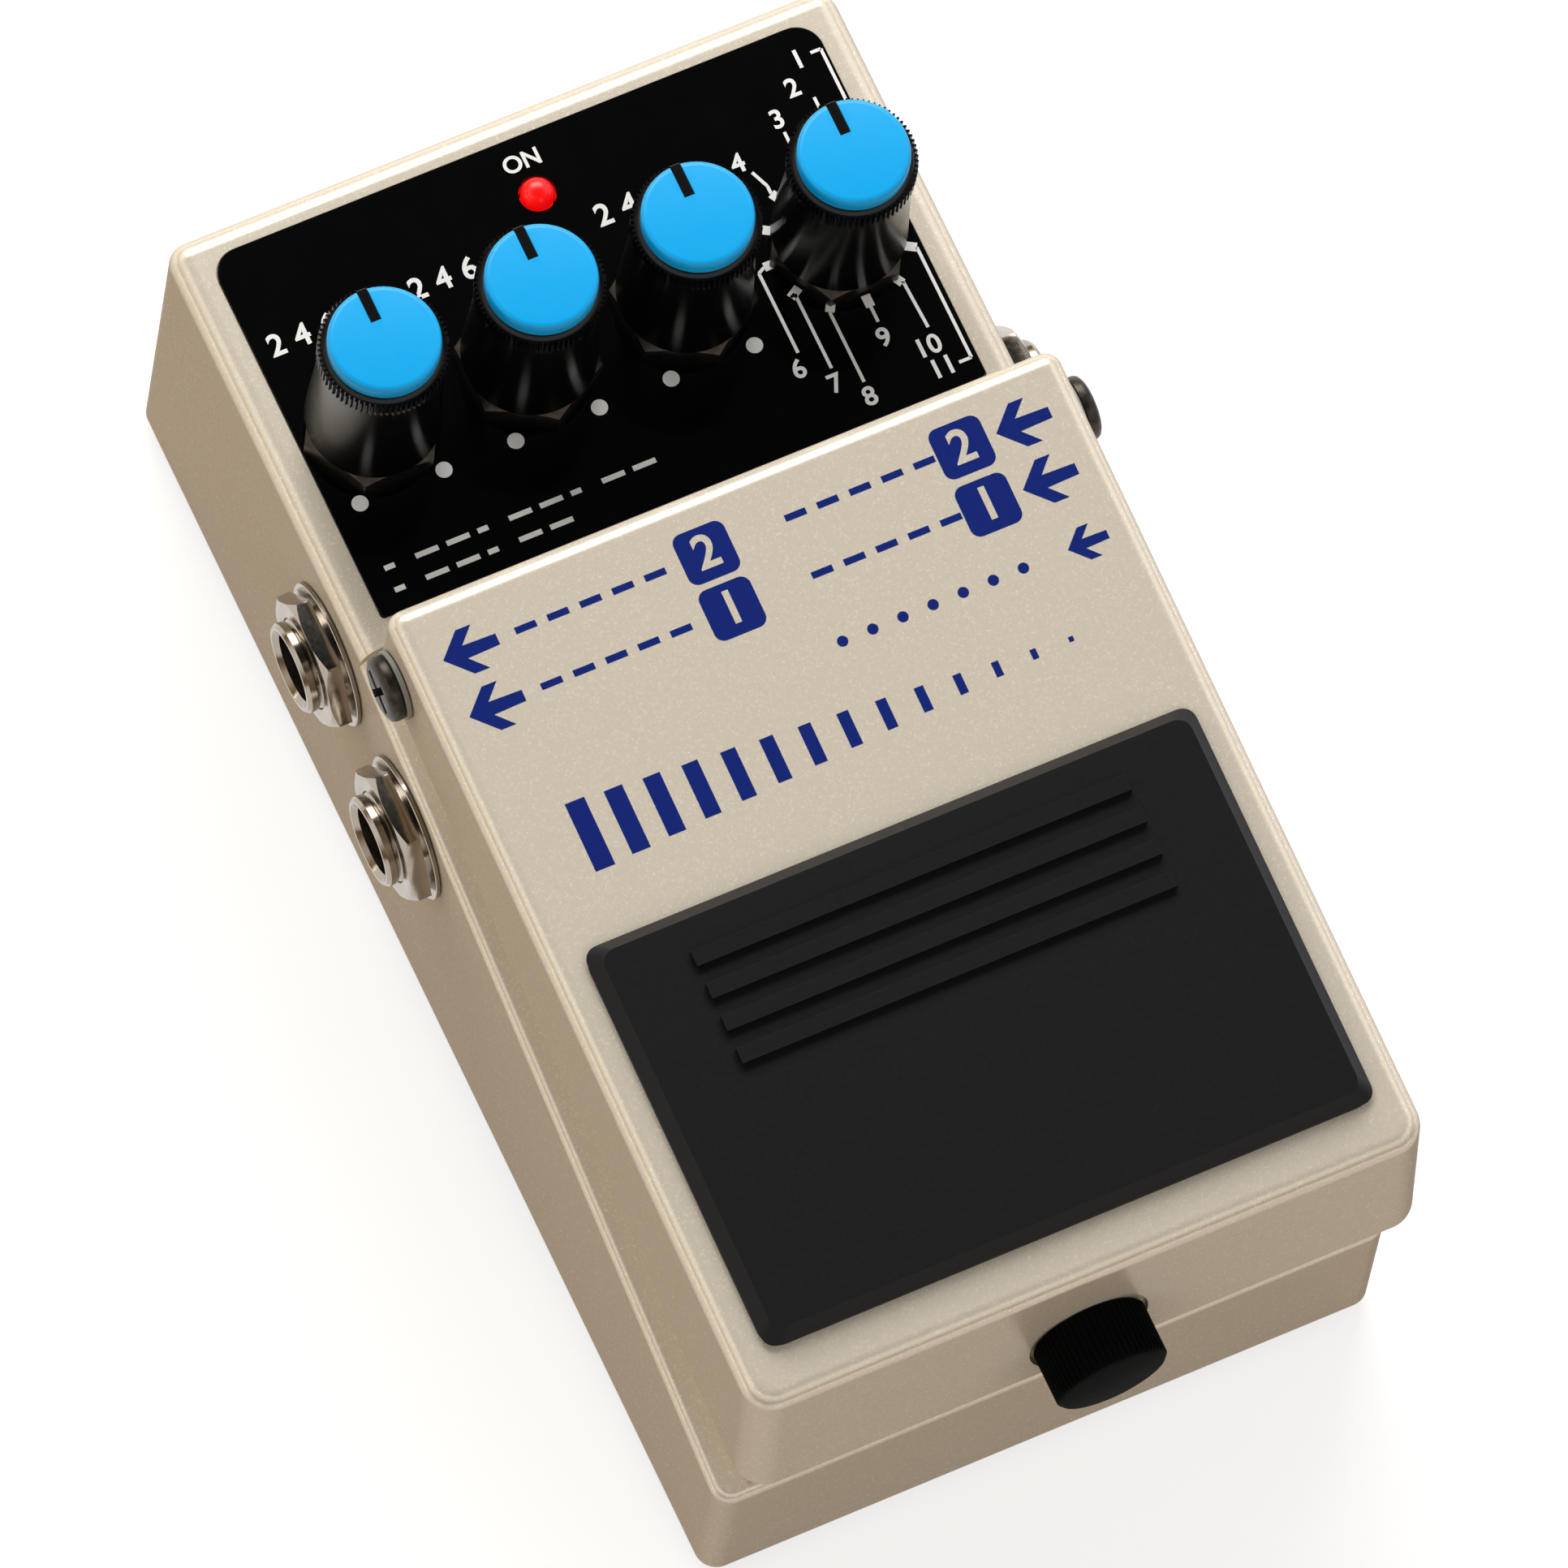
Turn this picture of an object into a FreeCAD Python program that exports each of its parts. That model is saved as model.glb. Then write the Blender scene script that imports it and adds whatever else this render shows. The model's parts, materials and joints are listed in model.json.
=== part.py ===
import FreeCAD, Part
import math
import os
from FreeCAD import Vector as V

# A compact floor pedal: a die-cast case with a spring-loaded treadle over a battery bay, a raised
# control block at the rear with four knobs, and jacks in both side walls.
# Millimetres. X to the right, Y backwards from the front edge of the case, Z up from the floor.
# On export everything is moved forward so that the origin lies under the middle of the outline.

# Overall sizes
CASE_HALF = 32.7
CASE_LENGTH = 121.0
SCREW_FRONT = -8.0
JACK_TIP = 36.5
WALL = 2.2
DRAFT = 0.3
CORNER = 2.0
ORIGIN_Y = (CASE_LENGTH + SCREW_FRONT) / 2.0

# How far cutting shapes reach past the part, how far joined shapes run into each other, and gaps
FAR = 100.0
BITE = 1.0
HOLE_GAP = 0.1
TINY = 0.01

# Heights of the case
RUBBER_TOP = 1.2
PLATE_TOP = 2.2
SHOULDER_FRONT = 18.2
SHOULDER_SLOPE = 0.225
BLOCK_FRONT = 78.5
BLOCK_TOP = 37.6
LEDGE = 1.6
INNER_OUT = 29.5
INNER_IN = 26.8
INNER_FRONT = 1.0
DECK_TOP = 34.0
DECK = 2.0
BAY_BACK = 40.5
BAY_FLOOR = 5.5
BAY_FLOOR_T = 1.5
SIDE_TOP_FRONT = 36.0
SIDE_TOP_SLOPE = 0.12
GUIDE_TOP = 41.0
GUIDE_HALF = 9.0
GUIDE_GAP = 0.4
SHOULDER_ROUND = 1.1
BLOCK_ROUND = 2.0
POST_R = 3.4
POST_TOP = 20.0
BOARD_POST_R = 2.6
PILOT_R = 1.25
PILOT_TOP = 11.0
EAR_REACH = 7.0
INNER_FOOT = 6.2
LEAD_WINDOW = (19.0, 24.5, 10.5, 17.5)
GUIDE_DROP = 3.5

# Bottom plate and rubber sheet
BOTTOM_HALF = 31.6
BOTTOM_EDGE = 1.1
BOTTOM_CORNER = 1.0
SHEET_HALF = 31.2
SHEET_EDGE = 1.5
SHEET_CORNER = 2.0
SCREW_HOLE_R = 1.6
SCREW_WINDOW_R = 3.2

# Treadle
TREADLE_TOP = 47.2
TREADLE_SLOPE = 0.075
TREADLE_LOW = 31.2
TREADLE_LOW_SLOPE = 0.157
TREADLE_HALF = 32.72
TREADLE_HALF_Z = 27.0
TREADLE_DRAFT = 0.0186
TREADLE_FOOT = 20.0
TREADLE_CROWN = 58.0
TREADLE_FRONT_Y = -1.8
TREADLE_FRONT_Z = 47.1
TREADLE_LEAN = 0.094
TREADLE_BACK = 76.3
TREADLE_CORNER = 3.0
TREADLE_REAR_CORNER = 1.5
TREADLE_ROUND = 1.7
RIB_X = 14.0
RIB_DROP = 5.0
RIB_T = 1.6
RIB_FRONT = 4.0
RIB_BACK = 44.0
REAR_OPENING = 26.2
EAR_POCKET_IN = 25.8
EAR_POCKET_OUT = 30.2
EAR_POCKET_GAP = 0.6
BOSS_R = 5.2
SPRING_BOSS_R = 7.0
STUB_BOSS_R = 4.4
BOSS_BACK = 0.2
BUSH_OUT = 3.9
PAD_HALF = 29.45
PAD_FRONT = 2.4
PAD_BACK = 41.7
PAD_RISE = 1.7
PAD_EDGE = 0.5
PAD_BEVEL = 1.1
PAD_BARS = 4
PAD_BAR_BACK = 37.6
PAD_BAR_PITCH = 3.2
PAD_BAR_HALF = 21.0
PAD_BAR_W = 1.5
PAD_BAR_RISE = 0.6

# Pivot of the treadle
PIVOT_Y = 72.0
PIVOT_Z = 46.0
EAR_R = 3.8
BUSH_R = 2.3
SHOULDER_R = 1.5
RUNNING = 0.05
THREAD_GAP = 0.02
FLANGE_R = 3.2
FLANGE_IN = 32.46
FLANGE_OUT = 32.9
PIVOT_HEAD_R = 3.0
PIVOT_HEAD_T = 1.35
PIVOT_HEAD_EDGE = 0.6

# Control block
PLATE_HALF = 29.25
PLATE_FRONT = 81.0
PLATE_BACK = 117.9
PLATE_SINK = 0.4
PLATE_T = 0.6
PLATE_FRONT_CORNER = 0.4
PLATE_BACK_CORNER = 2.5
PLATE_FACE = BLOCK_TOP - PLATE_SINK + PLATE_T
KNOB_PITCH = 15.04
KNOB_Y = 97.95
KNOB_R = 6.1
KNOB_NECK_R = 5.4
RING_R = 5.8
RING_TEETH = 36
TOOTH_DEEP = 0.3
CAP_R = 5.15
CAP_TOP = 57.6
CAP_LOW = CAP_TOP - 1.5
CAP_EDGE = 0.4
RING_HIGH = CAP_TOP - 1.9
RING_LOW = CAP_TOP - 4.0
NUT_AF = 11.4
NUT_T = 2.0
KNOB_LOW = PLATE_FACE + NUT_T + 0.3
SKIRT_R = 4.8
SKIRT_DEEP = 2.4
POINTER_W = 0.95
POINTER_L = 3.2
LED_Y = 112.2
LED_R = 1.5
LED_GAP = 0.2
LED_BELOW = 0.3
BUSHING_R = 3.5
SHAFT_R = 3.0
SHAFT_FLAT = 0.9
SHAFT_GRIP = 2.6
SHAFT_BELOW = 5.0
NECK_PAST = 0.9
POT_WIDE = 12.6
POT_DEEP = 12.0
POT_TALL = 7.0
SELECTOR_WIDE = 13.4
SELECTOR_DEEP = 14.0

# Jacks: side (1 is right), distance from the front, height
JACKS = {
    "left_rear": (-1, 83.4, 27.0),
    "left_front": (-1, 66.4, 25.2),
    "right_rear": (1, 82.3, 26.1),
    "right_middle": (1, 65.3, 24.3),
    "right_front": (1, 49.5, 20.5),
}
JACK_BORE = 3.25
JACK_BARREL = 4.34
JACK_GAP = 0.16
JACK_MOUTH = 0.35
JACK_WASHER = 6.76
WASHER_T = 0.8
JACK_NUT_AF = 11.6
JACK_NUT_T = 1.7
JACK_NUT_FACE = 0.15
JACK_ROOT = 27.0
JACK_HOUSING_END = 9.0
JACK_HOUSING_HALF = 5.4
JACK_HOUSING_TALL = 5.0
JACK_HOUSING_OUT = 30.1
JACK_HOUSING_WALL = 1.4
DC_Z = 20.5
DC_BORE = 2.9
DC_PIN = 1.0
DC_BARREL = 4.6
DC_DEEP = 7.5
DC_HALF = 5.5
DC_BODY = 12.0
DC_BELOW = 5.6
DC_ABOVE = 5.2
DC_PIN_BACK = 0.8
DC_FACE = CASE_LENGTH - 0.25

# Thumb screw in the front wall of the treadle
THUMB_Z = 35.6
THUMB_HEAD_R = 5.04
THUMB_FLUTES = 32
FLUTE_DEEP = 0.28
THUMB_EDGE = 0.7
THUMB_SHANK = 2.5
THUMB_SHANK_END = 0.2
THUMB_TIP = 2.0
THUMB_TIP_END = 7.0
SPOT_Y = -2.4
SPOT_R = 5.7
HEAD_BACK = SPOT_Y - 0.75
WASHER_R = 4.4

# Switch and spring under the treadle
SWITCH_Y = 50.0
SWITCH_HALF = 6.5
SWITCH_DEEP = 10.0
SWITCH_LOW = 23.0
SWITCH_TOP = 32.0
SWITCH_NECK_TOP = 38.0
LUG_STEP = 3.5
LUG_LOW = 19.5
BUTTON_R = 2.0
BUTTON_HEAD_R = 3.2
BUTTON_HEAD_T = 3.2
SWITCH_NUT_AF = 10.0
SWITCH_NUT_T = 1.8
STUB_R = 3.0
STUB_TIP_R = 2.0
BUTTON_TOP = 42.4
STUB_GAP = 0.1
STUB_PEG = 1.6
STUB_SEAT = 46.6
STUB_PEG_TOP = 49.2
SPRING_Y = 61.0
SPRING_R = 5.55
SPRING_WIRE = 0.45
SPRING_SIDES = 6
SPRING_TURNS = 5
SPRING_END_TURNS = 1.0
SPRING_END_GAP = 0.55
SPRING_TOP = 48.6
SPIGOT_R = 4.5
SPIGOT_L = 2.0

# Battery, nine-volt block size
BATTERY_LEFT = -26.1
BATTERY_BODY = 46.3
BATTERY_W = 26.5
BATTERY_H = 17.5
BATTERY_FRONT = 6.0
BATTERY_CORNER = 2.2
TERMINAL_STEP = 6.35
TERMINAL_L = 2.0
STUD_R = 2.9
SOCKET_R = 3.9
FOAM_T = 2.0
BATTERY_LOW = BAY_FLOOR + FOAM_T
SNAP_T = 4.4
SNAP_HALF = 12.6
SNAP_TALL = 6.4
LEAD_R = 0.6
LEAD_SIDES = 8
LEAD_BLOCK_Y = 52.6
LEAD_BLOCK_Z = 9.0

# Boards
BOARD_Z = 4.0
BOARD_T = 1.6
BOARD_HALF = 24.4
BOARD_FRONT = 45.0
BOARD_BACK = 116.0
CONTROL_BOARD_Z = 26.6
SCREW_X = 28.3
SCREW_FRONT_Y = 6.5
SCREW_BACK_Y = 114.5
BOARD_SCREWS = [(0.0, 72.0), (-14.0, 113.5), (14.0, 113.5)]
SCREW_R = 1.2
SCREW_HEAD_R = 2.6
SCREW_HEAD_T = 1.0
BOTTOM_SCREW_L = 8.0
BOARD_SCREW_L = 6.8
RECESS_L = 3.0
RECESS_W = 0.7
CHIP_T = 1.4
CAN_R = 2.5
CAN_TALL = 5.4


def box(x0, x1, y0, y1, z0, z1):
    return Part.makeBox(x1 - x0, y1 - y0, z1 - z0, V(x0, y0, z0))


def rod(r, start, end):
    way = end.sub(start)
    return Part.makeCylinder(r, way.Length, start, way)


def hexagon(across_flats, start, way, length):
    """A hexagonal prism round a line, one corner pair level with the floor."""
    turned = FreeCAD.Rotation(V(0, 0, 1), way)
    corner = across_flats / math.sqrt(3.0)
    ring = [V(corner * math.cos(math.radians(60 * k)), corner * math.sin(math.radians(60 * k)), 0)
            for k in range(6)]
    ring = [start.add(turned.multVec(p)) for p in ring]
    return flat_face(ring).extrude(V(way).normalize().multiply(length))


def rounded_outline(half, front, back, z, r_front, r_back):
    """A level closed outline with its four corners rounded."""
    edges = []
    corners = [
        (V(half, front, z), V(-1, 0, 0), V(0, 1, 0), r_front),
        (V(half, back, z), V(0, -1, 0), V(-1, 0, 0), r_back),
        (V(-half, back, z), V(1, 0, 0), V(0, -1, 0), r_back),
        (V(-half, front, z), V(0, 1, 0), V(1, 0, 0), r_front),
    ]
    ends = []
    for corner, towards, away, r in corners:
        first = corner.add(V(towards).multiply(r))
        last = corner.add(V(away).multiply(r))
        bulge = r * (1.0 - math.sqrt(0.5))
        middle = corner.add(V(towards).add(away).multiply(bulge))
        ends.append((first, middle, last))
    for k in range(4):
        first, middle, last = ends[k]
        edges.append(Part.Arc(first, middle, last).toShape())
        edges.append(Part.LineSegment(last, ends[(k + 1) % 4][0]).toShape())
    return Part.Wire(edges)


def flat_face(points):
    return Part.Face(Part.makePolygon(points + points[:1]))


def drafted_block(low, high, r_front, r_back):
    """A block with flat leaning sides and rounded uprights, from two (half, front, back, height)."""
    block = Part.makeWedge(-low[0], low[3], -low[2], -high[2], -high[0],
                           low[0], high[3], -low[1], -high[1], high[0])
    block.rotate(V(0, 0, 0), V(1, 0, 0), 90)
    tall = high[3] - low[3]
    halfway = (low[1] + low[2]) / 2.0
    front = edges_where(block, lambda c, e: e.BoundBox.ZLength > 0.9 * tall and c.y < halfway)
    block = block.makeFillet(r_front, front)
    back = edges_where(block, lambda c, e: e.BoundBox.ZLength > 0.9 * tall and c.y > halfway)
    return block.makeFillet(r_back, back)


def side_prism(points, half):
    """A side view outline, given as (distance, height), carried across the whole width."""
    return flat_face([V(-half, y, z) for y, z in points]).extrude(V(2 * half, 0, 0))


def turned(profile, centre):
    """A solid turned about a vertical line from (radius, height) pairs."""
    face = flat_face([V(r, 0, z) for r, z in profile])
    return face.revolve(V(0, 0, 0), V(0, 0, 1), 360).translated(V(centre[0], centre[1], 0))


def toothed(r_out, r_in, teeth, z0, z1):
    """A short prism with vertical teeth all round, about the vertical through the origin."""
    ring = []
    for k in range(teeth):
        a = 2 * math.pi * k / teeth
        half_step = math.pi / teeth
        ring.append(V(r_out * math.cos(a), r_out * math.sin(a), z0))
        ring.append(V(r_in * math.cos(a + half_step), r_in * math.sin(a + half_step), z0))
    return flat_face(ring).extrude(V(0, 0, z1 - z0))


def shoulder(y):
    return SHOULDER_FRONT + SHOULDER_SLOPE * y


def wall_x(z):
    """Half width of the case at a height, with its slight draft."""
    return CASE_HALF - DRAFT * (z - RUBBER_TOP) / (BLOCK_TOP - RUBBER_TOP)


def treadle_top(y):
    return TREADLE_TOP + TREADLE_SLOPE * y


def treadle_low(y):
    return TREADLE_LOW + TREADLE_LOW_SLOPE * y


def treadle_front(z):
    return TREADLE_FRONT_Y + TREADLE_LEAN * (z - TREADLE_FRONT_Z)


def edges_where(shape, test):
    return [e for e in shape.Edges if test(e.CenterOfMass, e)]


def case_outer():
    """The outside of the casting: sloping shoulders in front, the level block behind."""
    low = (CASE_HALF, 0.0, CASE_LENGTH, RUBBER_TOP)
    high = (CASE_HALF - DRAFT, DRAFT, CASE_LENGTH - DRAFT, BLOCK_TOP)
    body = drafted_block(low, high, CORNER, CORNER)
    front = side_prism([(-FAR, shoulder(-FAR)), (BLOCK_FRONT, shoulder(BLOCK_FRONT)),
                        (BLOCK_FRONT, FAR), (-FAR, FAR)], FAR)
    body = body.cut(front)
    rim = edges_where(body, lambda c, e: abs(c.z - shoulder(c.y)) < 0.05 and c.y < BLOCK_FRONT - 1)
    body = body.makeFillet(SHOULDER_ROUND, rim)
    top = edges_where(body, lambda c, e: abs(c.z - BLOCK_TOP) < TINY and c.y > BLOCK_FRONT + BITE)
    return body.makeFillet(BLOCK_ROUND, top)


def inner_frame():
    """The raised inner walls that the treadle closes over, with the two pivot ears."""
    front_z = SIDE_TOP_FRONT + SIDE_TOP_SLOPE * INNER_FRONT
    rise = PIVOT_Y - EAR_REACH
    walls = side_prism([
        (INNER_FRONT, INNER_FOOT), (INNER_FRONT, front_z),
        (rise, SIDE_TOP_FRONT + SIDE_TOP_SLOPE * rise),
        (PIVOT_Y - EAR_R, PIVOT_Z), (PIVOT_Y + EAR_R, PIVOT_Z),
        (PIVOT_Y + EAR_R, BLOCK_TOP), (BLOCK_FRONT + BITE, BLOCK_TOP), (BLOCK_FRONT + BITE, INNER_FOOT)],
        INNER_OUT)
    ears = rod(EAR_R, V(-INNER_OUT, PIVOT_Y, PIVOT_Z), V(INNER_OUT, PIVOT_Y, PIVOT_Z))
    well = box(-INNER_IN, INNER_IN, INNER_FRONT + WALL, BLOCK_FRONT, DECK_TOP, FAR)
    frame = walls.fuse(ears).cut(well)
    guide = box(-GUIDE_HALF, GUIDE_HALF, INNER_FRONT, INNER_FRONT + WALL, front_z - BITE, GUIDE_TOP)
    return frame.fuse(guide)


def chassis():
    """The one casting: case, inner frame, battery bay, deck and control block."""
    body = case_outer().fuse(inner_frame())
    in_x = CASE_HALF - DRAFT - WALL
    body = body.cut(box(-INNER_IN, INNER_IN, INNER_FRONT + WALL, BAY_BACK, BAY_FLOOR, FAR))
    body = body.cut(box(-INNER_IN, INNER_IN, INNER_FRONT + WALL, BAY_BACK,
                        0, BAY_FLOOR - BAY_FLOOR_T))
    front = BAY_BACK + DECK
    back = CASE_LENGTH - WALL
    side = side_prism([(front, 0), (front, shoulder(front) - LEDGE),
                       (BLOCK_FRONT, shoulder(BLOCK_FRONT) - LEDGE), (BLOCK_FRONT, 0)], in_x)
    side = side.cut(box(-INNER_IN, INNER_IN, 0, BLOCK_FRONT + BITE, DECK_TOP - DECK, FAR))
    middle = box(-INNER_IN, INNER_IN, front, BLOCK_FRONT + WALL, 0, DECK_TOP - DECK)
    rear = box(-in_x, in_x, BLOCK_FRONT, back, 0, BLOCK_TOP - WALL)
    body = body.cut(middle.fuse([side, rear]))
    for x, y in [(-SCREW_X, SCREW_BACK_Y), (SCREW_X, SCREW_BACK_Y)]:
        body = body.fuse(rod(POST_R, V(x, y, PLATE_TOP), V(x, y, POST_TOP)))
    for x, y in BOARD_SCREWS:
        top = DECK_TOP - DECK if y < BLOCK_FRONT else BLOCK_TOP - WALL
        body = body.fuse(rod(BOARD_POST_R, V(x, y, BOARD_Z + BOARD_T), V(x, y, top + HOLE_GAP)))
    recess = BOTTOM_EDGE - HOLE_GAP
    body = body.cut(box(-BOTTOM_HALF - HOLE_GAP, BOTTOM_HALF + HOLE_GAP,
                        recess, CASE_LENGTH - recess, 0, PLATE_TOP))
    for x, y in base_screw_places() + BOARD_SCREWS:
        body = body.cut(rod(PILOT_R, V(x, y, 0), V(x, y, PILOT_TOP)))
    body = body.cut(plate_outline(HOLE_GAP, BLOCK_TOP - PLATE_SINK, PLATE_T + PLATE_SINK))
    holes = [upright_hole(BUSHING_R + HOLE_GAP, x, KNOB_Y) for x in knob_places()]
    holes.append(upright_hole(LED_R + LED_GAP, 0, LED_Y))
    for name in JACKS:
        s, y, z = JACKS[name]
        holes.append(rod(JACK_BARREL + JACK_GAP, V(s * (in_x - BITE), y, z), V(s * FAR, y, z)))
    holes.append(rod(DC_BARREL + HOLE_GAP, V(0, back - BITE, DC_Z), V(0, FAR * 2, DC_Z)))
    holes.append(rod(PILOT_R, V(-INNER_OUT - BITE, PIVOT_Y, PIVOT_Z), V(INNER_OUT + BITE, PIVOT_Y, PIVOT_Z)))
    holes.append(upright_hole(BUSHING_R + HOLE_GAP, 0, SWITCH_Y))
    slot_low = THUMB_Z - THUMB_TIP - GUIDE_DROP
    slot_half = THUMB_TIP + GUIDE_GAP
    holes.append(box(-slot_half, slot_half, 0, INNER_FRONT + WALL + BITE, slot_low, FAR))
    window = LEAD_WINDOW
    holes.append(box(window[0], window[1], BAY_BACK - BITE, front + BITE, window[2], window[3]))
    body = body.cut(Part.makeCompound(holes))
    seat = rod(SPIGOT_R, V(0, SPRING_Y, DECK_TOP - BITE), V(0, SPRING_Y, DECK_TOP + SPIGOT_L))
    return body.fuse(seat).removeSplitter()


def knob_places():
    return [KNOB_PITCH * (k - 1.5) for k in range(4)]


def base_screw_places():
    return [(x, y) for x in (-SCREW_X, SCREW_X) for y in (SCREW_FRONT_Y, SCREW_BACK_Y)]


def upright_hole(r, x, y):
    """What is cut for a hole down through the deck or the top of the control block."""
    return rod(r, V(x, y, DECK_TOP - DECK - BITE), V(x, y, FAR))


def plate_outline(gap, z, height):
    """The control plate's outline, square in front and rounded behind."""
    wire = rounded_outline(PLATE_HALF + gap, PLATE_FRONT - gap, PLATE_BACK + gap, z,
                           PLATE_FRONT_CORNER, PLATE_BACK_CORNER)
    return Part.Face(wire).extrude(V(0, 0, height))


def control_plate():
    plate = plate_outline(0.0, BLOCK_TOP - PLATE_SINK, PLATE_T)
    for x in knob_places():
        plate = plate.cut(upright_hole(BUSHING_R + HOLE_GAP, x, KNOB_Y))
    return plate.cut(upright_hole(LED_R + LED_GAP, 0, LED_Y))


def bottom_plate():
    wire = rounded_outline(BOTTOM_HALF, BOTTOM_EDGE, CASE_LENGTH - BOTTOM_EDGE, RUBBER_TOP,
                           BOTTOM_CORNER, BOTTOM_CORNER)
    plate = Part.Face(wire).extrude(V(0, 0, PLATE_TOP - RUBBER_TOP))
    for x, y in base_screw_places():
        plate = plate.cut(rod(SCREW_HOLE_R, V(x, y, 0), V(x, y, FAR)))
    return plate


def rubber_base_sheet():
    """The glued rubber sheet, with a round window over each screw head."""
    wire = rounded_outline(SHEET_HALF, SHEET_EDGE, CASE_LENGTH - SHEET_EDGE, 0, SHEET_CORNER, SHEET_CORNER)
    sheet = Part.Face(wire).extrude(V(0, 0, RUBBER_TOP))
    for x, y in base_screw_places():
        sheet = sheet.cut(rod(SCREW_WINDOW_R, V(x, y, -BITE), V(x, y, FAR)))
    return sheet


def cross_recess(centre, way, depth):
    """Two crossed slots, as the driver needs, sunk along a direction into a screw head."""
    first = Part.makeBox(RECESS_L, RECESS_W, depth, V(-RECESS_L / 2, -RECESS_W / 2, 0))
    second = Part.makeBox(RECESS_W, RECESS_L, depth, V(-RECESS_W / 2, -RECESS_L / 2, 0))
    cross = first.fuse(second)
    cross.Placement = FreeCAD.Placement(centre, FreeCAD.Rotation(V(0, 0, 1), way))
    return cross


def plain_screw(x, y, z, length):
    """A pan-head screw pointing up, its head's face at a height."""
    head = rod(SCREW_HEAD_R, V(x, y, z), V(x, y, z + SCREW_HEAD_T))
    return head.fuse(rod(SCREW_R, V(x, y, z + HOLE_GAP), V(x, y, z + SCREW_HEAD_T + length)))


def bottom_screws():
    """Four pan-head screws up into the case."""
    screws = []
    face = RUBBER_TOP - SCREW_HEAD_T
    for x, y in base_screw_places():
        screw = plain_screw(x, y, face, BOTTOM_SCREW_L)
        screws.append(screw.cut(cross_recess(V(x, y, face), V(0, 0, 1), RECESS_W)))
    return Part.makeCompound(screws)


def treadle_block(inset, plane_drop):
    """The treadle's tapered block between its sloping top and lower planes."""
    half_low = TREADLE_HALF + TREADLE_DRAFT * (TREADLE_HALF_Z - TREADLE_FOOT) - inset
    half_high = half_low - TREADLE_DRAFT * (TREADLE_CROWN - TREADLE_FOOT)
    back = TREADLE_BACK - inset
    low = (half_low, treadle_front(TREADLE_FOOT) + inset, back, TREADLE_FOOT)
    high = (half_high, treadle_front(TREADLE_CROWN) + inset, back, TREADLE_CROWN)
    block = drafted_block(low, high, TREADLE_CORNER - 0.6 * inset, TREADLE_REAR_CORNER)
    above = side_prism([(-FAR, treadle_top(-FAR) - plane_drop), (FAR, treadle_top(FAR) - plane_drop),
                        (FAR, FAR), (-FAR, FAR)], FAR)
    return block.cut(above)


def treadle():
    """The cast treadle: a shell open below, with its screw boss, ribs and spring seat."""
    outer = treadle_block(0.0, 0.0)
    below = side_prism([(-FAR, treadle_low(-FAR)), (FAR, treadle_low(FAR)), (FAR, 0), (-FAR, 0)], FAR)
    outer = outer.cut(below)
    rim = edges_where(outer, lambda c, e: abs(c.z - treadle_top(c.y)) < 0.03)
    outer = outer.makeFillet(TREADLE_ROUND, rim)
    body = outer.cut(treadle_block(WALL, WALL))
    roof = PIVOT_Z + EAR_R + EAR_POCKET_GAP
    back = TREADLE_BACK - WALL - 0.5
    body = body.cut(box(-REAR_OPENING, REAR_OPENING, back, FAR, TREADLE_FOOT, PIVOT_Z))
    for s in (-1, 1):
        x0, x1 = sorted((s * EAR_POCKET_IN, s * EAR_POCKET_OUT))
        body = body.cut(box(x0, x1, back, FAR, TREADLE_FOOT, roof))
    parts = []
    for x in (-RIB_X, RIB_X):
        rib = side_prism([(RIB_FRONT, treadle_top(RIB_FRONT) - BITE),
                          (RIB_FRONT, treadle_top(RIB_FRONT) - RIB_DROP),
                          (RIB_BACK, treadle_top(RIB_BACK) - RIB_DROP),
                          (RIB_BACK, treadle_top(RIB_BACK) - BITE)], RIB_T / 2)
        parts.append(rib.translated(V(x, 0, 0)))
    seat_roof = treadle_top(SPRING_Y) - BITE
    stub_roof = treadle_top(SWITCH_Y) - BITE
    parts.append(rod(SPRING_BOSS_R, V(0, SPRING_Y, SPRING_TOP), V(0, SPRING_Y, seat_roof)))
    parts.append(rod(SPIGOT_R, V(0, SPRING_Y, SPRING_TOP - SPIGOT_L), V(0, SPRING_Y, seat_roof)))
    parts.append(rod(STUB_BOSS_R, V(0, SWITCH_Y, STUB_SEAT), V(0, SWITCH_Y, stub_roof)))
    parts.append(rod(BOSS_R, V(0, SPOT_Y, THUMB_Z), V(0, BOSS_BACK, THUMB_Z)))
    body = body.fuse(parts)
    cuts = [rod(SPOT_R, V(0, SCREW_FRONT, THUMB_Z), V(0, SPOT_Y, THUMB_Z))]
    cuts.append(rod(BUSH_OUT, V(0, SCREW_FRONT, THUMB_Z), V(0, BOSS_BACK + BITE, THUMB_Z)))
    cuts.append(rod(BUSH_R + RUNNING, V(-FAR, PIVOT_Y, PIVOT_Z), V(FAR, PIVOT_Y, PIVOT_Z)))
    cuts.append(rod(STUB_PEG, V(0, SWITCH_Y, STUB_SEAT - BITE), V(0, SWITCH_Y, STUB_PEG_TOP + HOLE_GAP)))
    return body.cut(Part.makeCompound(cuts)).removeSplitter()


def thumb_screw_bush():
    """The tapped bush pressed into the treadle's front wall."""
    bush = rod(BUSH_OUT, V(0, SPOT_Y, THUMB_Z), V(0, BOSS_BACK, THUMB_Z))
    return bush.cut(rod(THUMB_SHANK + RUNNING, V(0, -FAR, THUMB_Z), V(0, FAR, THUMB_Z)))


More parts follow.
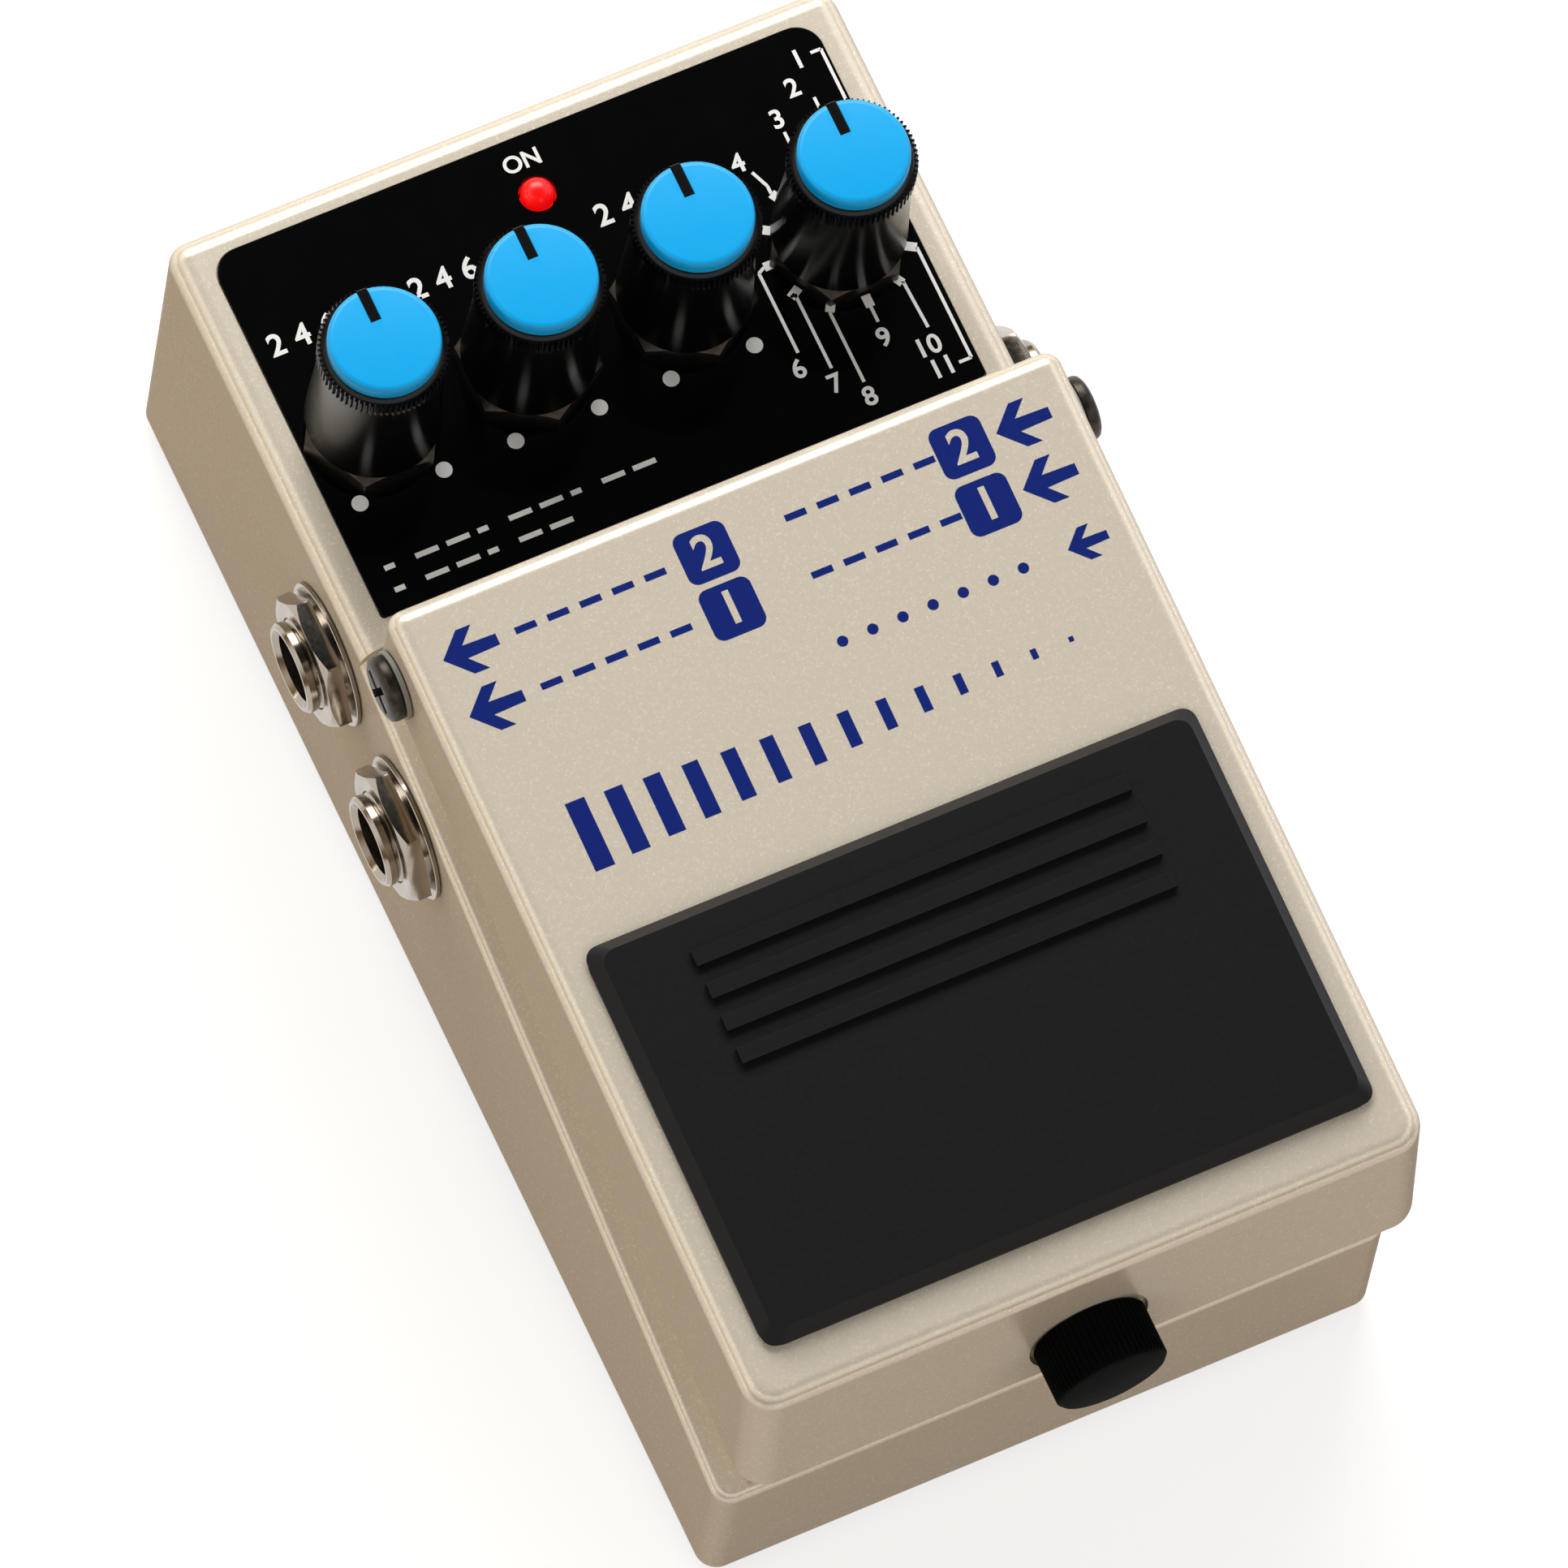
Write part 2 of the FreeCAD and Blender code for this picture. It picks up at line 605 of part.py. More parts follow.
def treadle_pad():
    """The foot pad, with bevelled sides and plain raised grip bars."""
    low = (PAD_HALF, PAD_FRONT, PAD_BACK, PAD_EDGE)
    high = (PAD_HALF - PAD_BEVEL, PAD_FRONT + PAD_BEVEL, PAD_BACK - PAD_BEVEL, PAD_RISE)
    edge = Part.Face(rounded_outline(PAD_HALF, PAD_FRONT, PAD_BACK, 0.0, CORNER, CORNER))
    pad = edge.extrude(V(0, 0, PAD_EDGE)).fuse(drafted_block(low, high, CORNER, CORNER))
    bars = []
    for k in range(PAD_BARS):
        y = PAD_BAR_BACK - PAD_BAR_PITCH * k
        bars.append(box(-PAD_BAR_HALF, PAD_BAR_HALF, y - PAD_BAR_W, y,
                        PAD_EDGE, PAD_RISE + PAD_BAR_RISE))
    pad = pad.fuse(bars).removeSplitter()
    lean = math.degrees(math.atan(TREADLE_SLOPE))
    pad.rotate(V(0, 0, 0), V(1, 0, 0), lean)
    pad.translate(V(0, 0, TREADLE_TOP))
    return pad


def knurled_head(r, flutes, y0, y1, edge):
    """A round head lying along Y, with flutes along its side and a chamfered front rim."""
    long = y1 - y0
    head = toothed(r, r - FLUTE_DEEP, flutes, 0, long)
    rim = r + HOLE_GAP
    cone = turned([(0, 0), (r - edge, 0), (rim, edge), (rim, long), (0, long)], (0, 0))
    head = head.common(cone)
    head.rotate(V(0, 0, 0), V(1, 0, 0), -90)
    return head.translated(V(0, y0, THUMB_Z))


def thumb_screw():
    """Knurled head, neck, threaded shank and plain tip, in one turned piece."""
    head = knurled_head(THUMB_HEAD_R, THUMB_FLUTES, SCREW_FRONT, HEAD_BACK, THUMB_EDGE)
    shank = rod(THUMB_SHANK, V(0, HEAD_BACK - BITE, THUMB_Z), V(0, THUMB_SHANK_END, THUMB_Z))
    tip = rod(THUMB_TIP, V(0, 0, THUMB_Z), V(0, THUMB_TIP_END, THUMB_Z))
    end = edges_where(tip, lambda c, e: abs(c.y - THUMB_TIP_END) < TINY)
    return head.fuse([shank, tip.makeChamfer(0.6, end)])


def thumb_screw_washer():
    washer = rod(WASHER_R, V(0, HEAD_BACK + RUNNING, THUMB_Z), V(0, SPOT_Y - RUNNING, THUMB_Z))
    return washer.cut(rod(THUMB_SHANK + RUNNING, V(0, -FAR, THUMB_Z), V(0, FAR, THUMB_Z)))


def pivot_bushes():
    """Flanged nylon bushes: the treadle turns on them and they turn on the screws."""
    solids = []
    for s in (-1, 1):
        tube = rod(BUSH_R, V(s * (INNER_OUT + 0.15), PIVOT_Y, PIVOT_Z),
                   V(s * FLANGE_OUT, PIVOT_Y, PIVOT_Z))
        flange = rod(FLANGE_R, V(s * FLANGE_IN, PIVOT_Y, PIVOT_Z), V(s * FLANGE_OUT, PIVOT_Y, PIVOT_Z))
        bore = rod(SHOULDER_R + RUNNING, V(0, PIVOT_Y, PIVOT_Z), V(s * FAR, PIVOT_Y, PIVOT_Z))
        solids.append(tube.fuse(flange).cut(bore))
    return Part.makeCompound(solids)


def pivot_screws():
    """Shoulder screws into the ears, with chamfered cross-slotted heads."""
    solids = []
    for s in (-1, 1):
        low = FLANGE_OUT + 0.08
        high = low + PIVOT_HEAD_T
        head = rod(PIVOT_HEAD_R, V(s * low, PIVOT_Y, PIVOT_Z), V(s * high, PIVOT_Y, PIVOT_Z))
        rim = edges_where(head, lambda c, e: abs(abs(c.x) - high) < TINY)
        head = head.makeChamfer(PIVOT_HEAD_EDGE, rim)
        shoulder_part = rod(SHOULDER_R, V(s * INNER_OUT, PIVOT_Y, PIVOT_Z),
                            V(s * (low + PIVOT_HEAD_EDGE), PIVOT_Y, PIVOT_Z))
        thread = rod(SCREW_R, V(s * (INNER_IN + 0.2), PIVOT_Y, PIVOT_Z),
                     V(s * (INNER_OUT + 0.5), PIVOT_Y, PIVOT_Z))
        screw = head.fuse([shoulder_part, thread])
        recess = cross_recess(V(s * high, PIVOT_Y, PIVOT_Z), V(-s, 0, 0), 1.0)
        solids.append(screw.cut(recess))
    return Part.makeCompound(solids)


def switch_plunger():
    """The rubber plunger under the treadle that meets the switch button."""
    low = BUTTON_TOP + STUB_GAP
    return turned([(0, low), (STUB_TIP_R, low), (STUB_R, low + STUB_R - STUB_TIP_R), (STUB_R, STUB_SEAT),
                   (STUB_PEG, STUB_SEAT), (STUB_PEG, STUB_PEG_TOP), (0, STUB_PEG_TOP)],
                  (0, SWITCH_Y))


def footswitch_body():
    """Snap-action switch under the deck, with its threaded neck."""
    front, back = SWITCH_Y - SWITCH_DEEP / 2, SWITCH_Y + SWITCH_DEEP / 2
    low = box(-SWITCH_HALF, SWITCH_HALF, front, back, SWITCH_LOW, SWITCH_TOP)
    neck = rod(BUSHING_R, V(0, SWITCH_Y, SWITCH_TOP - BITE), V(0, SWITCH_Y, SWITCH_NECK_TOP))
    body = low.fuse(neck)
    for x in (-LUG_STEP, 0.0, LUG_STEP):
        body = body.fuse(box(x - 0.6, x + 0.6, SWITCH_Y - 0.3, SWITCH_Y + 0.3, LUG_LOW, SWITCH_LOW + BITE))
    return body.cut(rod(BUTTON_R + RUNNING, V(0, SWITCH_Y, SWITCH_TOP - DECK), V(0, SWITCH_Y, FAR)))


def footswitch_button():
    """The switch's plunger, with a wider pressing head."""
    under = BUTTON_TOP - BUTTON_HEAD_T
    head = rod(BUTTON_HEAD_R, V(0, SWITCH_Y, under), V(0, SWITCH_Y, BUTTON_TOP))
    return head.fuse(rod(BUTTON_R, V(0, SWITCH_Y, DECK_TOP - 1.0), V(0, SWITCH_Y, under + BITE)))


def footswitch_nut():
    nut = hexagon(SWITCH_NUT_AF, V(0, SWITCH_Y, DECK_TOP), V(0, 0, 1), SWITCH_NUT_T)
    return nut.cut(upright_hole(BUSHING_R + THREAD_GAP, 0, SWITCH_Y))


def section(r, sides, centre, way):
    """A wire's regular section across its run, and the section's area."""
    turned_to = FreeCAD.Rotation(V(0, 0, 1), way)
    ring = []
    for k in range(sides):
        a = 2 * math.pi * (k + 0.5) / sides
        ring.append(centre.add(turned_to.multVec(V(r * math.cos(a), r * math.sin(a), 0))))
    area = 0.5 * sides * r * r * math.sin(2 * math.pi / sides)
    return Part.makePolygon(ring + ring[:1]), area


def return_spring():
    """The coil as one unbroken wire: a climbing spiral of quarter turns with close end turns."""
    rise = SPRING_TOP - DECK_TOP - 2 * SPRING_WIRE
    ends = SPRING_END_TURNS
    live = SPRING_TURNS - 2 * ends
    pitch_end = 2 * SPRING_WIRE + SPRING_END_GAP
    pitch_live = (rise - 2 * ends * pitch_end) / live
    base = V(0, SPRING_Y, DECK_TOP + SPRING_WIRE)

    def height(turn):
        low = min(turn, ends) * pitch_end
        middle = max(0.0, min(turn, SPRING_TURNS - ends) - ends) * pitch_live
        return low + middle + max(0.0, turn - (SPRING_TURNS - ends)) * pitch_end

    def at(turn):
        a = 2 * math.pi * turn
        return base.add(V(SPRING_R * math.cos(a), SPRING_R * math.sin(a), height(turn)))

    edges = []
    steps = SPRING_TURNS * 4
    for k in range(steps):
        start, end = at(k / 4.0), at((k + 1) / 4.0)
        edges.append(Part.Arc(start, at((k + 0.5) / 4.0), end).toShape())
    path = Part.Wire(edges)
    begin = edges[0].valueAt(edges[0].FirstParameter)
    way = edges[0].tangentAt(edges[0].FirstParameter)
    ring, area = section(SPRING_WIRE, SPRING_SIDES, begin, way)
    tube = path.makePipeShell([ring], True, False)
    gap = min(pitch_end, pitch_live) - 2 * SPRING_WIRE
    print("spring: least gap between turns %.2f, volume %.2f of %.2f" % (
        gap, tube.Volume, area * path.Length))
    return tube


def pot_body(x, wide, deep, tall):
    """A control's box under the panel, with its threaded neck through the panel."""
    top = BLOCK_TOP - WALL
    low = box(x - wide / 2, x + wide / 2, KNOB_Y - deep / 2, KNOB_Y + deep / 2, top - tall, top)
    neck = rod(BUSHING_R, V(x, KNOB_Y, top - BITE), V(x, KNOB_Y, KNOB_LOW + NECK_PAST))
    body = low.fuse(neck)
    bore = rod(SHAFT_R + RUNNING, V(x, KNOB_Y, top - SHAFT_BELOW - HOLE_GAP), V(x, KNOB_Y, FAR))
    return body.cut(bore)


def pot_bodies():
    return Part.makeCompound([pot_body(x, POT_WIDE, POT_DEEP, POT_TALL) for x in knob_places()[:3]])


def selector_switch_body():
    return pot_body(knob_places()[3], SELECTOR_WIDE, SELECTOR_DEEP, POT_TALL)


def control_nuts():
    """A thin hexagonal nut round each control's neck."""
    nuts = []
    for x in knob_places():
        nut = hexagon(NUT_AF, V(x, KNOB_Y, PLATE_FACE), V(0, 0, 1), NUT_T)
        nuts.append(nut.cut(upright_hole(BUSHING_R + THREAD_GAP, x, KNOB_Y)))
    return Part.makeCompound(nuts)


def knob_shaft(x):
    """A control shaft with a flat where the knob grips it."""
    low = BLOCK_TOP - WALL - SHAFT_BELOW
    shaft = rod(SHAFT_R, V(x, KNOB_Y, low), V(x, KNOB_Y, RING_LOW - 1.0))
    flat = box(x - 4, x + 4, KNOB_Y + SHAFT_R - SHAFT_FLAT, KNOB_Y + 5, KNOB_LOW + SHAFT_GRIP, FAR)
    return shaft.cut(flat)


def knob_body(x):
    """The black knob: hollow skirt, fine grip ring, and the fin that shows as the pointer."""
    outer = turned([(0, KNOB_LOW), (KNOB_R, KNOB_LOW), (KNOB_NECK_R, RING_LOW),
                    (KNOB_NECK_R, RING_HIGH), (CAP_R, CAP_LOW), (0, CAP_LOW)], (0, 0))
    ring = toothed(RING_R, RING_R - TOOTH_DEEP, RING_TEETH, RING_LOW, RING_HIGH)
    skirt = rod(SKIRT_R, V(0, 0, KNOB_LOW - BITE), V(0, 0, KNOB_LOW + SKIRT_DEEP))
    bore = rod(SHAFT_R + TINY, V(0, 0, KNOB_LOW), V(0, 0, RING_LOW - 0.9))
    flat = box(-4, 4, SHAFT_R - SHAFT_FLAT + TINY, 5, KNOB_LOW + SHAFT_GRIP, RING_LOW + BITE)
    fin = box(-POINTER_W / 2, POINTER_W / 2, CAP_R - POINTER_L, CAP_R - HOLE_GAP,
              CAP_LOW - BITE, CAP_TOP - HOLE_GAP)
    body = outer.fuse(ring).cut(skirt).cut(bore.cut(flat)).fuse(fin)
    return body.removeSplitter().translated(V(x, KNOB_Y, 0))


def knob_cap(x):
    """The blue cap: a flat disc with a bevelled rim, slotted for the fin."""
    disc = rod(CAP_R, V(0, 0, CAP_LOW), V(0, 0, CAP_TOP))
    rim = edges_where(disc, lambda c, e: abs(c.z - CAP_TOP) < TINY)
    disc = disc.makeChamfer(CAP_EDGE, rim)
    slot = box(-POINTER_W / 2, POINTER_W / 2, CAP_R - POINTER_L, CAP_R + BITE,
               CAP_LOW - BITE, CAP_TOP + BITE)
    return disc.cut(slot).translated(V(x, KNOB_Y, 0))


def led():
    """A three-millimetre indicator with its collar on the control board."""
    centre = PLATE_FACE - LED_BELOW
    stem = rod(LED_R, V(0, LED_Y, CONTROL_BOARD_Z + BOARD_T), V(0, LED_Y, centre))
    dome = Part.makeSphere(LED_R, V(0, LED_Y, centre))
    return stem.fuse(dome).removeSplitter()


def control_board():
    """The upper board that carries the controls and the indicator."""
    board = box(-29.0, 29.0, 89.0, 107.0, CONTROL_BOARD_Z, CONTROL_BOARD_Z + BOARD_T)
    tongue = box(-6.0, 6.0, 106.0, 115.5, CONTROL_BOARD_Z, CONTROL_BOARD_Z + BOARD_T)
    return board.fuse(tongue).removeSplitter()


def main_board():
    board = box(-BOARD_HALF, BOARD_HALF, BOARD_FRONT, BOARD_BACK, BOARD_Z, BOARD_Z + BOARD_T)
    for x, y in BOARD_SCREWS:
        board = board.cut(rod(SCREW_HOLE_R, V(x, y, 0), V(x, y, FAR)))
    return board


def main_board_chips():
    """The converter, processor and memory packages."""
    top = BOARD_Z + BOARD_T
    return Part.makeCompound([
        box(-7, 7, 84, 98, top, top + CHIP_T),
        box(-19, -11, 86, 98, top, top + CHIP_T),
        box(11, 18, 88, 98, top, top + CHIP_T),
        box(-5, 5, 54, 61, top, top + CHIP_T),
    ])


def main_board_capacitors():
    top = BOARD_Z + BOARD_T
    places = [(-18, 104), (-9, 104), (9, 104), (18, 104), (-18, 60)]
    return Part.makeCompound([rod(CAN_R, V(x, y, top), V(x, y, top + CAN_TALL)) for x, y in places])


def board_screws():
    return Part.makeCompound([plain_screw(x, y, BOARD_Z - SCREW_HEAD_T, BOARD_SCREW_L)
                              for x, y in BOARD_SCREWS])


def jack_barrel(name):
    """The plated threaded barrel that the plug goes into, its mouth chamfered."""
    s, y, z = JACKS[name]
    tube = rod(JACK_BARREL, V(s * JACK_ROOT, y, z), V(s * JACK_TIP, y, z))
    rim = edges_where(tube, lambda c, e: abs(abs(c.x) - JACK_TIP) < TINY)
    tube = tube.makeChamfer(JACK_MOUTH, rim)
    return tube.cut(side_hole(JACK_BORE, name))


def side_hole(r, name):
    """What is cut for a hole through a side wall on a jack's axis."""
    s, y, z = JACKS[name]
    return rod(r, V(s * (JACK_ROOT - BITE), y, z), V(s * FAR, y, z))


def jack_housings():
    """The five moulded sockets behind the barrels, each bored for the plug."""
    solids = []
    for name in JACKS:
        s, y, z = JACKS[name]
        x0, x1 = sorted((s * JACK_HOUSING_END, s * JACK_HOUSING_OUT))
        shell = box(x0, x1, y - JACK_HOUSING_HALF, y + JACK_HOUSING_HALF,
                    z - JACK_HOUSING_TALL, z + JACK_HOUSING_TALL)
        inside = rod(JACK_BARREL, V(s * (JACK_HOUSING_END + JACK_HOUSING_WALL), y, z), V(s * FAR, y, z))
        solids.append(shell.cut(inside))
    return Part.makeCompound(solids)


def jack_seat(z):
    return wall_x(z - JACK_WASHER)


def jack_washers():
    solids = []
    for name in JACKS:
        s, y, z = JACKS[name]
        seat = jack_seat(z)
        ring = rod(JACK_WASHER, V(s * seat, y, z), V(s * (seat + WASHER_T), y, z))
        solids.append(ring.cut(side_hole(JACK_BARREL + HOLE_GAP, name)))
    return Part.makeCompound(solids)


def jack_nuts():
    """Hexagonal nuts with their outer corners turned off."""
    solids = []
    for name in JACKS:
        s, y, z = JACKS[name]
        low = jack_seat(z) + WASHER_T
        nut = hexagon(JACK_NUT_AF, V(s * low, y, z), V(s, 0, 0), JACK_NUT_T)
        cone = Part.makeCone(JACK_NUT_AF / 2 + JACK_NUT_T, JACK_NUT_AF / 2 - JACK_NUT_FACE, JACK_NUT_T,
                             V(s * low, y, z), V(s, 0, 0))
        solids.append(nut.common(cone).cut(side_hole(JACK_BARREL + THREAD_GAP, name)))
    return Part.makeCompound(solids)


def dc_inlet():
    """The power socket in the rear wall: a round mouth in front of its square body."""
    back = CASE_LENGTH - WALL
    barrel = rod(DC_BARREL, V(0, back - BITE, DC_Z), V(0, DC_FACE, DC_Z))
    body = box(-DC_HALF, DC_HALF, back - DC_BODY, back, DC_Z - DC_BELOW, DC_Z + DC_ABOVE)
    return barrel.fuse(body).cut(rod(DC_BORE, V(0, back - DC_DEEP, DC_Z), V(0, back + FAR, DC_Z)))


def dc_inlet_pin():
    back = CASE_LENGTH - WALL
    end = DC_FACE - DC_PIN_BACK
    pin = rod(DC_PIN, V(0, back - DC_DEEP, DC_Z), V(0, end, DC_Z))
    tip = edges_where(pin, lambda c, e: abs(c.y - end) < TINY)
    return pin.makeChamfer(0.3, tip)


def battery():
    """A nine-volt block lying on its broad side, with its two snap terminals."""
    back = BATTERY_FRONT + BATTERY_W
    end = BATTERY_LEFT + BATTERY_BODY
    block = box(BATTERY_LEFT, end, BATTERY_FRONT, back, BATTERY_LOW, BATTERY_LOW + BATTERY_H)
    uprights = edges_where(block, lambda c, e: abs(c.x - end + BATTERY_BODY / 2) < TINY)
    block = block.makeFillet(BATTERY_CORNER, uprights)
    z = BATTERY_LOW + BATTERY_H / 2
    middle = BATTERY_FRONT + BATTERY_W / 2
    near, far = middle - TERMINAL_STEP, middle + TERMINAL_STEP
    stud = rod(STUD_R, V(end - BITE, near, z), V(end + TERMINAL_L, near, z))
    socket = rod(SOCKET_R, V(end - BITE, far, z), V(end + TERMINAL_L, far, z))
    return block.fuse([stud, socket])


def battery_snap():
    """The moulded snap over the terminals."""
    end = BATTERY_LEFT + BATTERY_BODY
    z = BATTERY_LOW + BATTERY_H / 2
    middle = BATTERY_FRONT + BATTERY_W / 2
    near, far = middle - TERMINAL_STEP, middle + TERMINAL_STEP
    snap = box(end + 0.2, end + SNAP_T, middle - SNAP_HALF, middle + SNAP_HALF,
               z - SNAP_TALL, z + SNAP_TALL)
    deep = end + TERMINAL_L + HOLE_GAP
    snap = snap.cut(rod(STUD_R + HOLE_GAP, V(end, near, z), V(deep, near, z)))
    return snap.cut(rod(SOCKET_R + HOLE_GAP, V(end, far, z), V(deep, far, z)))


def battery_foam():
    return box(BATTERY_LEFT + 0.6, BATTERY_LEFT + BATTERY_BODY - 2, BATTERY_FRONT + 1,
               BATTERY_FRONT + BATTERY_W - 1, BAY_FLOOR, BAY_FLOOR + FOAM_T)


def lead_route(shift):
    """The route of one battery lead, from the snap through the bay wall to the board block."""
    back = BATTERY_FRONT + BATTERY_W / 2 + SNAP_HALF
    z = BATTERY_LOW + BATTERY_H / 2
    x = BATTERY_LEFT + BATTERY_BODY + 2.3
    return [V(x - shift, back, z + shift), V(x - shift, back + 4.8, z + shift),
            V(x - 0.6 - 1.2 * shift, back + 11.0, 13.0 + 0.3 * shift),
            V(x - 1.0 - 1.6 * shift, LEAD_BLOCK_Y - 5.2, LEAD_BLOCK_Z),
            V(x - 1.0 - 1.6 * shift, LEAD_BLOCK_Y, LEAD_BLOCK_Z)]


def bent_tube(points, r):
    """Straight runs joined by tangent arcs, each arc as large as its two runs allow."""
    edges = []
    at = points[0]
    radii = []
    for k in range(1, len(points) - 1):
        before = points[k - 1].sub(points[k])
        after = points[k + 1].sub(points[k])
        turn = math.pi - before.getAngle(after)
        reach = 0.45 * min(before.Length, after.Length)
        radius = reach / math.tan(turn / 2)
        radii.append(radius)
        first = points[k].add(V(before).normalize().multiply(reach))
        last = points[k].add(V(after).normalize().multiply(reach))
        inward = V(before).normalize().add(V(after).normalize()).normalize()
        centre = points[k].add(V(inward).multiply(radius / math.cos(turn / 2)))
        middle = centre.sub(V(inward).multiply(radius))
        edges.append(Part.LineSegment(at, first).toShape())
        edges.append(Part.Arc(first, middle, last).toShape())
        at = last
    edges.append(Part.LineSegment(at, points[-1]).toShape())
    path = Part.Wire(edges)
    way = points[1].sub(points[0])
    ring, area = section(r, LEAD_SIDES, points[0], way)
    tube = path.makePipeShell([ring], True, False)
    print("lead radii %s, volume %.2f of %.2f" % (
        ", ".join("%.1f" % v for v in radii), tube.Volume, area * path.Length))
    return tube


def lead_block():
    """The board connector that takes both battery leads."""
    route = lead_route(0)
    x = route[-1].x
    top = BOARD_Z + BOARD_T
    return box(x - 4.2, x + 1.6, LEAD_BLOCK_Y, LEAD_BLOCK_Y + 5.0, top, top + 5.0)


def export(name, shape):
    shape = shape.translated(V(0, -ORIGIN_Y, 0))
    solids = shape.Solids
    if not shape.isValid() or not solids:
        print("INVALID", name)
    for solid in solids:
        if solid.Volume <= 0:
            print("BAD VOLUME", name, solid.Volume)
    print("%-24s %2d solids %10.1f mm3" % (name, len(solids), shape.Volume))
    shape.exportStep("parts/%s.step" % name)


def main():
    os.makedirs("parts", exist_ok=True)
    export("chassis", chassis())
    export("bottom_plate", bottom_plate())
    export("rubber_base_sheet", rubber_base_sheet())
    export("bottom_screws", bottom_screws())
    export("control_plate", control_plate())
    export("indicator_led", led())
    export("treadle", treadle())
    export("treadle_pad", treadle_pad())
    export("thumb_screw_bush", thumb_screw_bush())
    export("thumb_screw_washer", thumb_screw_washer())
    export("thumb_screw", thumb_screw())
    export("pivot_bushes", pivot_bushes())
    export("pivot_screws", pivot_screws())
    export("switch_plunger", switch_plunger())
    export("footswitch_body", footswitch_body())
    export("footswitch_button", footswitch_button())
    export("footswitch_nut", footswitch_nut())
    export("return_spring", return_spring())
    export("pot_bodies", pot_bodies())
    export("selector_switch_body", selector_switch_body())
    export("control_nuts", control_nuts())
    for k, x in enumerate(knob_places()):
        export("knob_%d_body" % (k + 1), knob_body(x))
        export("knob_%d_cap" % (k + 1), knob_cap(x))
        export("knob_%d_shaft" % (k + 1), knob_shaft(x))
    export("control_board", control_board())
    export("main_board", main_board())
    export("main_board_chips", main_board_chips())
    export("main_board_capacitors", main_board_capacitors())
    export("board_screws", board_screws())
    for name in JACKS:
        export("jack_%s_barrel" % name, jack_barrel(name))
    export("jack_housings", jack_housings())
    export("jack_washers", jack_washers())
    export("jack_nuts", jack_nuts())
    export("dc_inlet", dc_inlet())
    export("dc_inlet_pin", dc_inlet_pin())
    export("battery", battery())
    export("battery_snap", battery_snap())
    export("battery_foam", battery_foam())
    export("battery_lead_block", lead_block())
    export("battery_lead_red", bent_tube(lead_route(0.0), LEAD_R))
    export("battery_lead_black", bent_tube(lead_route(1.4), LEAD_R))


main()
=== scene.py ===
"""A compact floor delay pedal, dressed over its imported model.

Laid out as an add-on and run as a script.
"""

import json
from math import atan, atan2, cos, pi, radians, sin, sqrt

import bpy
from mathutils import Matrix, Vector

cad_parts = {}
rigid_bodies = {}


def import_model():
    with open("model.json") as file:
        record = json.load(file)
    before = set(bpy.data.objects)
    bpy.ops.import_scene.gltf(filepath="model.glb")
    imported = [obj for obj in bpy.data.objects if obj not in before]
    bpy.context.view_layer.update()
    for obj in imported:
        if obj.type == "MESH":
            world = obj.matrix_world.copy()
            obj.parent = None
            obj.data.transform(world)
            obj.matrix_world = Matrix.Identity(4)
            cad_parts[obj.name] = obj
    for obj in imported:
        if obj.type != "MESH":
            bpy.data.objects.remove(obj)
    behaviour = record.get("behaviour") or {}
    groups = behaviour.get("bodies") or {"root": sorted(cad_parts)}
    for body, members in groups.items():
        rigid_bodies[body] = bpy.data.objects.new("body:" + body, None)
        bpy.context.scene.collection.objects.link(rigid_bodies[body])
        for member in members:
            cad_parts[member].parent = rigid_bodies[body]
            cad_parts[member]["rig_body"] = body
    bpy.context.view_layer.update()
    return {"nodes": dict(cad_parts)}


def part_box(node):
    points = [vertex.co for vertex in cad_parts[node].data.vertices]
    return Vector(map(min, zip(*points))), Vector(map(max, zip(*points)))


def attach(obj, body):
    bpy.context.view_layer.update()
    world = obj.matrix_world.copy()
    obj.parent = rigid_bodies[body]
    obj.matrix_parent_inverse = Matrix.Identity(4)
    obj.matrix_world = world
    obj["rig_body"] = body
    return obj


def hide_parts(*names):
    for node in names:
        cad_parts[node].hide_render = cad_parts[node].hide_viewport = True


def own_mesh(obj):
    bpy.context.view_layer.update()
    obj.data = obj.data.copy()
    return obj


bl_info = {
    "name": "Delay Pedal",
    "version": (1, 0, 0),
    "blender": (4, 5, 0),
    "location": "View3D > Sidebar > Delay Pedal",
    "description": "Builds the visible pieces and finishes of a compact floor delay pedal",
    "category": "Object",
}

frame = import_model()
NODES = frame["nodes"]
MM = 0.001

# Places are in millimetres from the pedal's middle, back from its front edge, and up.
CASE_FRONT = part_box("chassis")[0].y
PANEL_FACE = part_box("control_plate")[1].z
TREADLE_RISE = 47.2
TREADLE_SLOPE = 0.075
KNOB_ROW = 97.95
KNOB_PITCH = 15.04
# Half the thickness of printed ink, in millimetres
INK = 0.02


def place(x, back, height):
    """A point in the row frame, in metres, from millimetres on the pedal."""
    return Vector((x * MM, CASE_FRONT + back * MM, height * MM))


def paint(code):
    """The linear colour of an sRGB hex value."""
    channels = [int(code[k:k + 2], 16) / 255.0 for k in (1, 3, 5)]
    return [c / 12.92 if c <= 0.04045 else ((c + 0.055) / 1.055) ** 2.4 for c in channels] + [1.0]


class PedalColours(bpy.types.PropertyGroup):
    """Colours of the paint, print and mouldings."""

    enamel: bpy.props.StringProperty(name="Enamel", description="Pearl paint", default="#EAE0CF")
    ink: bpy.props.StringProperty(
        name="Print", description="Print on the treadle", default="#0C2374")
    caps: bpy.props.StringProperty(name="Caps", description="Knob caps", default="#0AADF4")
    white: bpy.props.StringProperty(
        name="White", description="Print on the panel", default="#F4F4F4")


